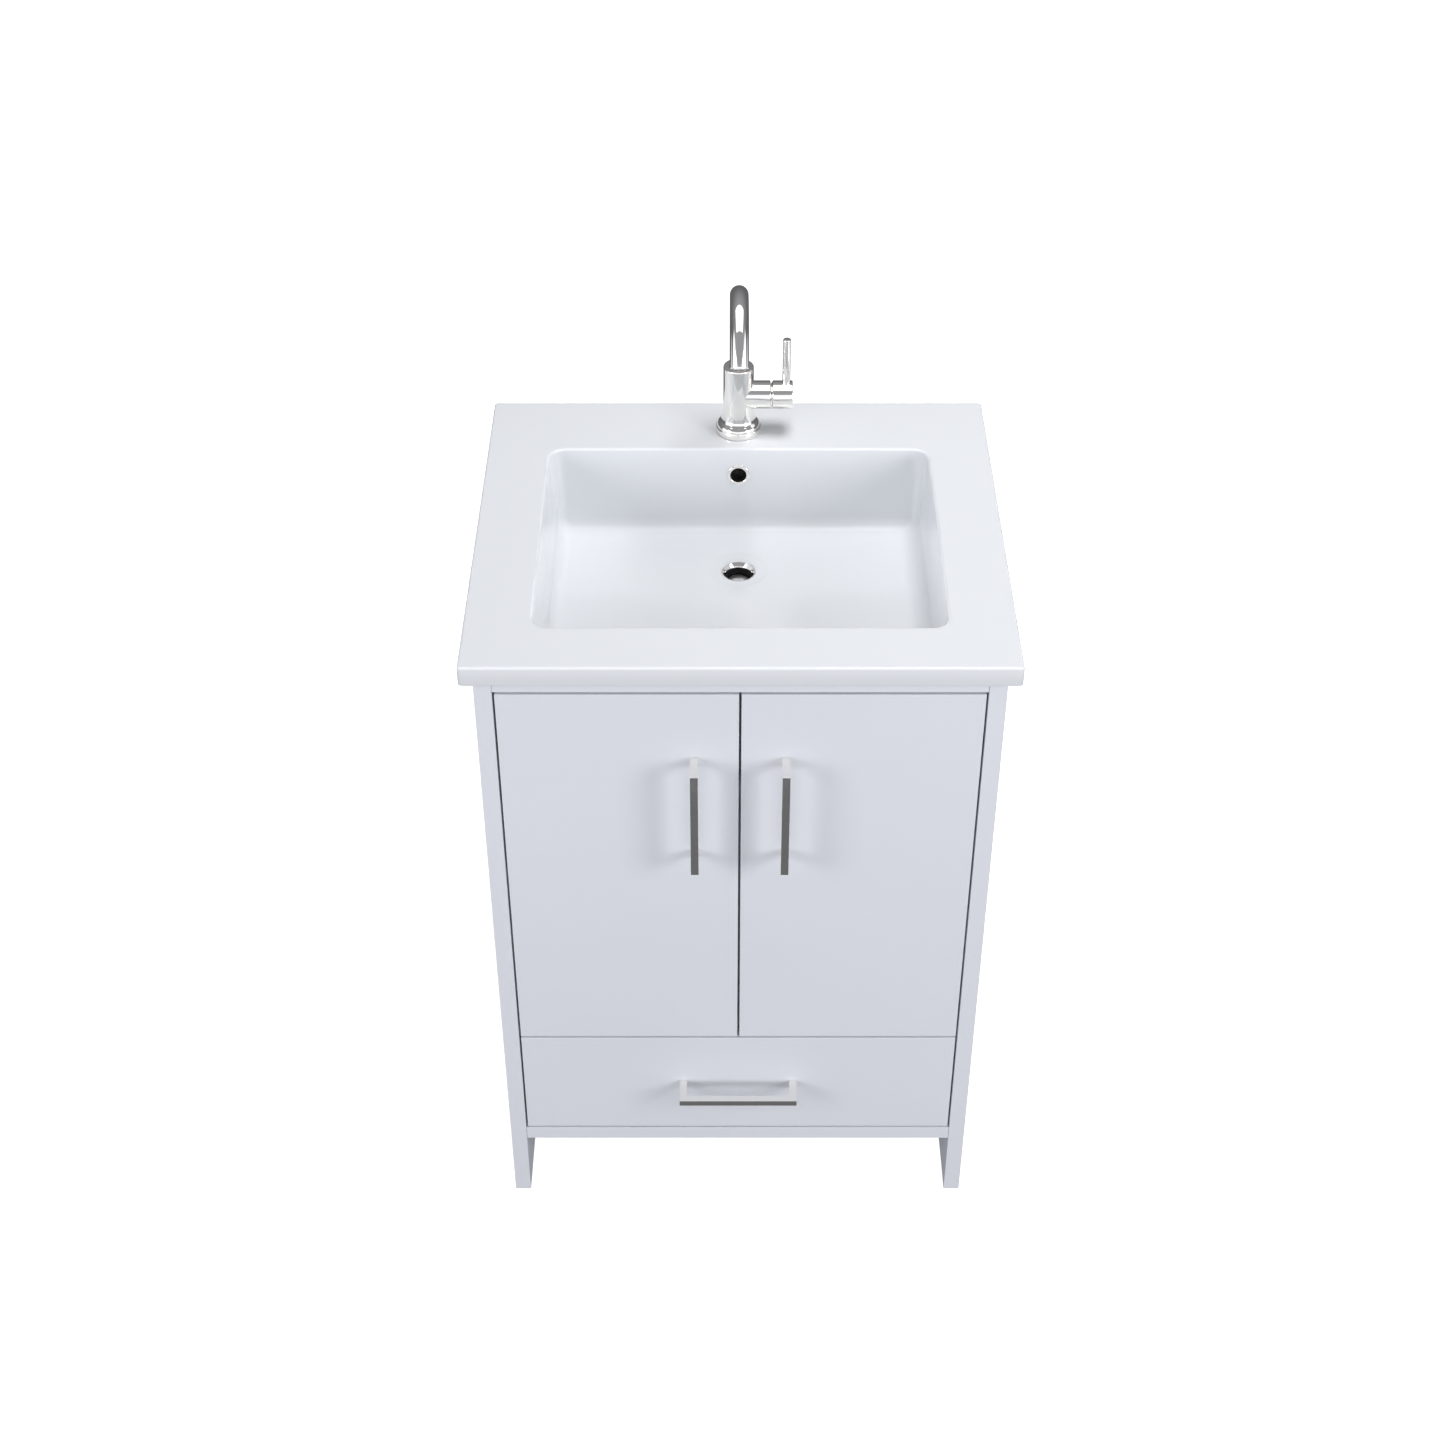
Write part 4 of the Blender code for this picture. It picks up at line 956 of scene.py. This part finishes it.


# ---- painted shade: black linings behind the two water holes
def painted_shade_linings():
    """Painted shade: a black lining in the drain's throat and a black strainer cup behind the overflow ring,
    put there to darken these holes as shade would.
    """
    rim, outer, inner = DRAIN_RIM, 0.0159, 0.0152
    profile = [(outer, rim - 0.0060), (outer - 0.0003, rim - 0.0057), (inner, rim - 0.0062),
               (inner, rim - 0.0290), (inner + 0.0002, rim - 0.0295), (outer, rim - 0.0295)]
    # painted shade: a black sleeve darkens the drain's throat
    shade_sleeve = lathe("drain_painted_shade_lining", profile, (0, DRAIN_Y, 0))
    apply_booleans(shade_sleeve, *crossed_slots(0.004, 0.7325, 0.7375))
    finish_piece(smooth(shade_sleeve, 30), "black_rubber", NODE_BODY["drain_body"])
    shade_sleeve.data.materials[0] = SHADE_BLACK

    outer, inner, depth, sieve = 0.0093, 0.0087, 0.0085, 0.0072
    base, end_y = depth - 0.0010, OVERFLOW_Y + depth
    profile = [(outer, 0.0010), (inner + 0.0002, 0.0008), (inner, 0.0012), (inner, base), (0.0012, base),
               (0, base), (0, depth), (outer - 0.0004, depth), (outer, depth - 0.0004)]
    # painted shade: a black cup darkens the hole behind the overflow ring
    cup = lathe("overflow_painted_shade_cup", profile, (0, OVERFLOW_Y, OVERFLOW_Z), "Y", steps=64, tilt=WALL_LEAN)
    for z in (-0.0050, -0.0017, 0.0017, 0.0050):
        half = math.sqrt(sieve ** 2 - z ** 2)
        opening = bar("opening", (-half, end_y - 0.0030, OVERFLOW_Z + z - 0.0006),
                      (half, end_y + 0.0030, OVERFLOW_Z + z + 0.0006))
        apply_booleans(cup, ("DIFFERENCE", opening))
    finish_piece(smooth(cup, 30), "black_rubber", NODE_BODY["overflow_ring"])
    cup.data.materials[0] = SHADE_BLACK


# ---- stage and light
# Height from -1 (straight down) to 1 (straight up), and how bright the studio is there.
FRONT_STOPS = ((-1.0, 0.12), (-0.5, 0.15), (-0.14, 0.18), (-0.07, 1.15), (0.37, 1.15), (0.50, 0.32),
               (1.0, 0.32))
BAND_STOPS = ((-1.0, 0.0), (-0.645, 0.0), (-0.615, 0.62), (-0.16, 0.62), (-0.08, 0.0), (1.0, 0.0))
BAND_BACK = 0.5  # how far round behind the low band reaches
SOFTER_FILL = -0.36  # less light from the walls on painted surfaces
SIDE_BLEND = 0.06  # how softly front and back walls meet
STUDIO_TINT = (0.975, 0.99, 1.06)
BACK_STOPS = ((-1.0, 0.12), (0.0, 0.13), (0.3, 0.17), (0.5, 0.22), (0.8, 0.30), (1.0, 0.33))


def ramp_node(nodes, stops):
    """A colour ramp over the studio's height."""
    ramp = nodes.new("ShaderNodeValToRGB")
    elements = ramp.color_ramp.elements
    while len(elements) < len(stops):
        elements.new(0.5)
    for element, (height, level) in zip(elements, stops):
        element.position = (height + 1) / 2
        element.color = (*(level * part for part in STUDIO_TINT), 1)
    return ramp


def math_node(nodes, operation, *values):
    """A maths node whose inputs after the first hold the values."""
    node = nodes.new("ShaderNodeMath")
    node.operation = operation
    for index, value in enumerate(values, 1):
        node.inputs[index].default_value = value
    return node


def stage():
    """A plain white floor, and a studio that is white in front of the object and dim behind it."""
    bm = bmesh.new()
    bmesh.ops.create_grid(bm, x_segments=1, y_segments=1, size=12)
    floor = link_mesh("floor", bm)
    shader = Shader("floor", (0.5, 0.5, 0.5), 0.9)
    shader.set("Emission Color", (1, 1, 1, 1))
    shader.set("Emission Strength", 0.95)
    floor.data.materials.append(shader.material)
    floor.visible_glossy = floor.visible_diffuse = floor.visible_shadow = False

    world = bpy.data.worlds.new("studio")
    bpy.context.scene.world = world
    world.use_nodes = True
    nodes, links = world.node_tree.nodes, world.node_tree.links
    nodes.clear()
    output = nodes.new("ShaderNodeOutputWorld")
    place = nodes.new("ShaderNodeTexCoord")
    parts = nodes.new("ShaderNodeSeparateXYZ")
    height = nodes.new("ShaderNodeMapRange")
    height.inputs["From Min"].default_value = -1.0
    front, back, band = (ramp_node(nodes, stops) for stops in (FRONT_STOPS, BACK_STOPS, BAND_STOPS))
    side = nodes.new("ShaderNodeMapRange")
    side.inputs["From Min"].default_value = -SIDE_BLEND
    side.inputs["From Max"].default_value = SIDE_BLEND
    walls = nodes.new("ShaderNodeMix")
    walls.data_type = "RGBA"
    reach = math_node(nodes, "LESS_THAN", BAND_BACK)
    shown = math_node(nodes, "MULTIPLY")
    added = nodes.new("ShaderNodeMix")
    added.data_type, added.blend_type = "RGBA", "ADD"
    fill = math_node(nodes, "MULTIPLY_ADD", SOFTER_FILL, 1.0)
    background = nodes.new("ShaderNodeBackground")
    white = nodes.new("ShaderNodeBackground")
    white.inputs["Color"].default_value = (1, 1, 1, 1)
    rays = nodes.new("ShaderNodeLightPath")
    seen = nodes.new("ShaderNodeMixShader")
    links.new(place.outputs["Generated"], parts.inputs["Vector"])
    links.new(parts.outputs["Z"], height.inputs["Value"])
    links.new(parts.outputs["Y"], side.inputs["Value"])
    for ramp, target in ((front, walls.inputs[6]), (back, walls.inputs[7]), (band, added.inputs[7])):
        links.new(height.outputs["Result"], ramp.inputs["Fac"])
        links.new(ramp.outputs["Color"], target)
    links.new(side.outputs["Result"], walls.inputs[0])
    links.new(walls.outputs[2], added.inputs[6])
    links.new(parts.outputs["Y"], reach.inputs[0])
    links.new(reach.outputs[0], shown.inputs[0])
    links.new(rays.outputs["Is Glossy Ray"], shown.inputs[1])
    links.new(shown.outputs[0], added.inputs[0])
    links.new(added.outputs[2], background.inputs["Color"])
    links.new(rays.outputs["Is Diffuse Ray"], fill.inputs[0])
    links.new(fill.outputs[0], background.inputs["Strength"])
    links.new(rays.outputs["Is Camera Ray"], seen.inputs["Fac"])
    links.new(background.outputs["Background"], seen.inputs[1])
    links.new(white.outputs["Background"], seen.inputs[2])
    links.new(seen.outputs["Shader"], output.inputs["Surface"])


def area_light(name, place, target, size, power, **unseen):
    data = bpy.data.lights.new(name, "AREA")
    data.shape = "RECTANGLE"
    data.size, data.size_y = size
    data.energy = power
    light = bpy.data.objects.new(name, data)
    light.location = place
    light.rotation_euler = (Vector(target) - Vector(place)).to_track_quat("-Z", "Y").to_euler()
    for rays, value in unseen.items():
        setattr(light, rays, value)
    bpy.context.scene.collection.objects.link(light)


def lights():
    """Soft lights in front, low in front, overhead and behind, and a wide panel overhead that is only
    reflected. The low, overhead and back lights light surfaces without being reflected."""
    middle = (0, 0, 0.6)
    area_light("overhead", (0.38, 0.2, 3.15), (0.38, 0.2, 0), (1.0, 1.0), 41, visible_glossy=False)
    area_light("overhead_panel", (0, 0.05, 3.1), (0, 0.05, 0), (3.25, 2.1), 28, visible_diffuse=False)
    for name, side, power in (("left", -1, 26), ("right", 1, 34)):
        area_light(f"front_{name}", (side * 2.3, -1.67, 1.58), middle, (0.8, 1.4), power)
    area_light("front_low", (0, -3.0, 0.5), (0, 0, 0.5), (2.5, 0.6), 17, visible_glossy=False)
    for name, side in SIDES:
        area_light(f"back_{name}", (side * 2.4, 2.4, 1.0), middle, (1.2, 1.2), 20, visible_glossy=False)
    bpy.context.scene.view_settings.view_transform = "Standard"


boards()
doors()
sink_top()
overflow_ring()
drain()
tap_body()
tap_lever()
tap_spout()
pulls()
pull_screws()
carcass_fixings()
hinges()
runners()
fittings()
painted_shade_linings()
stage()
lights()
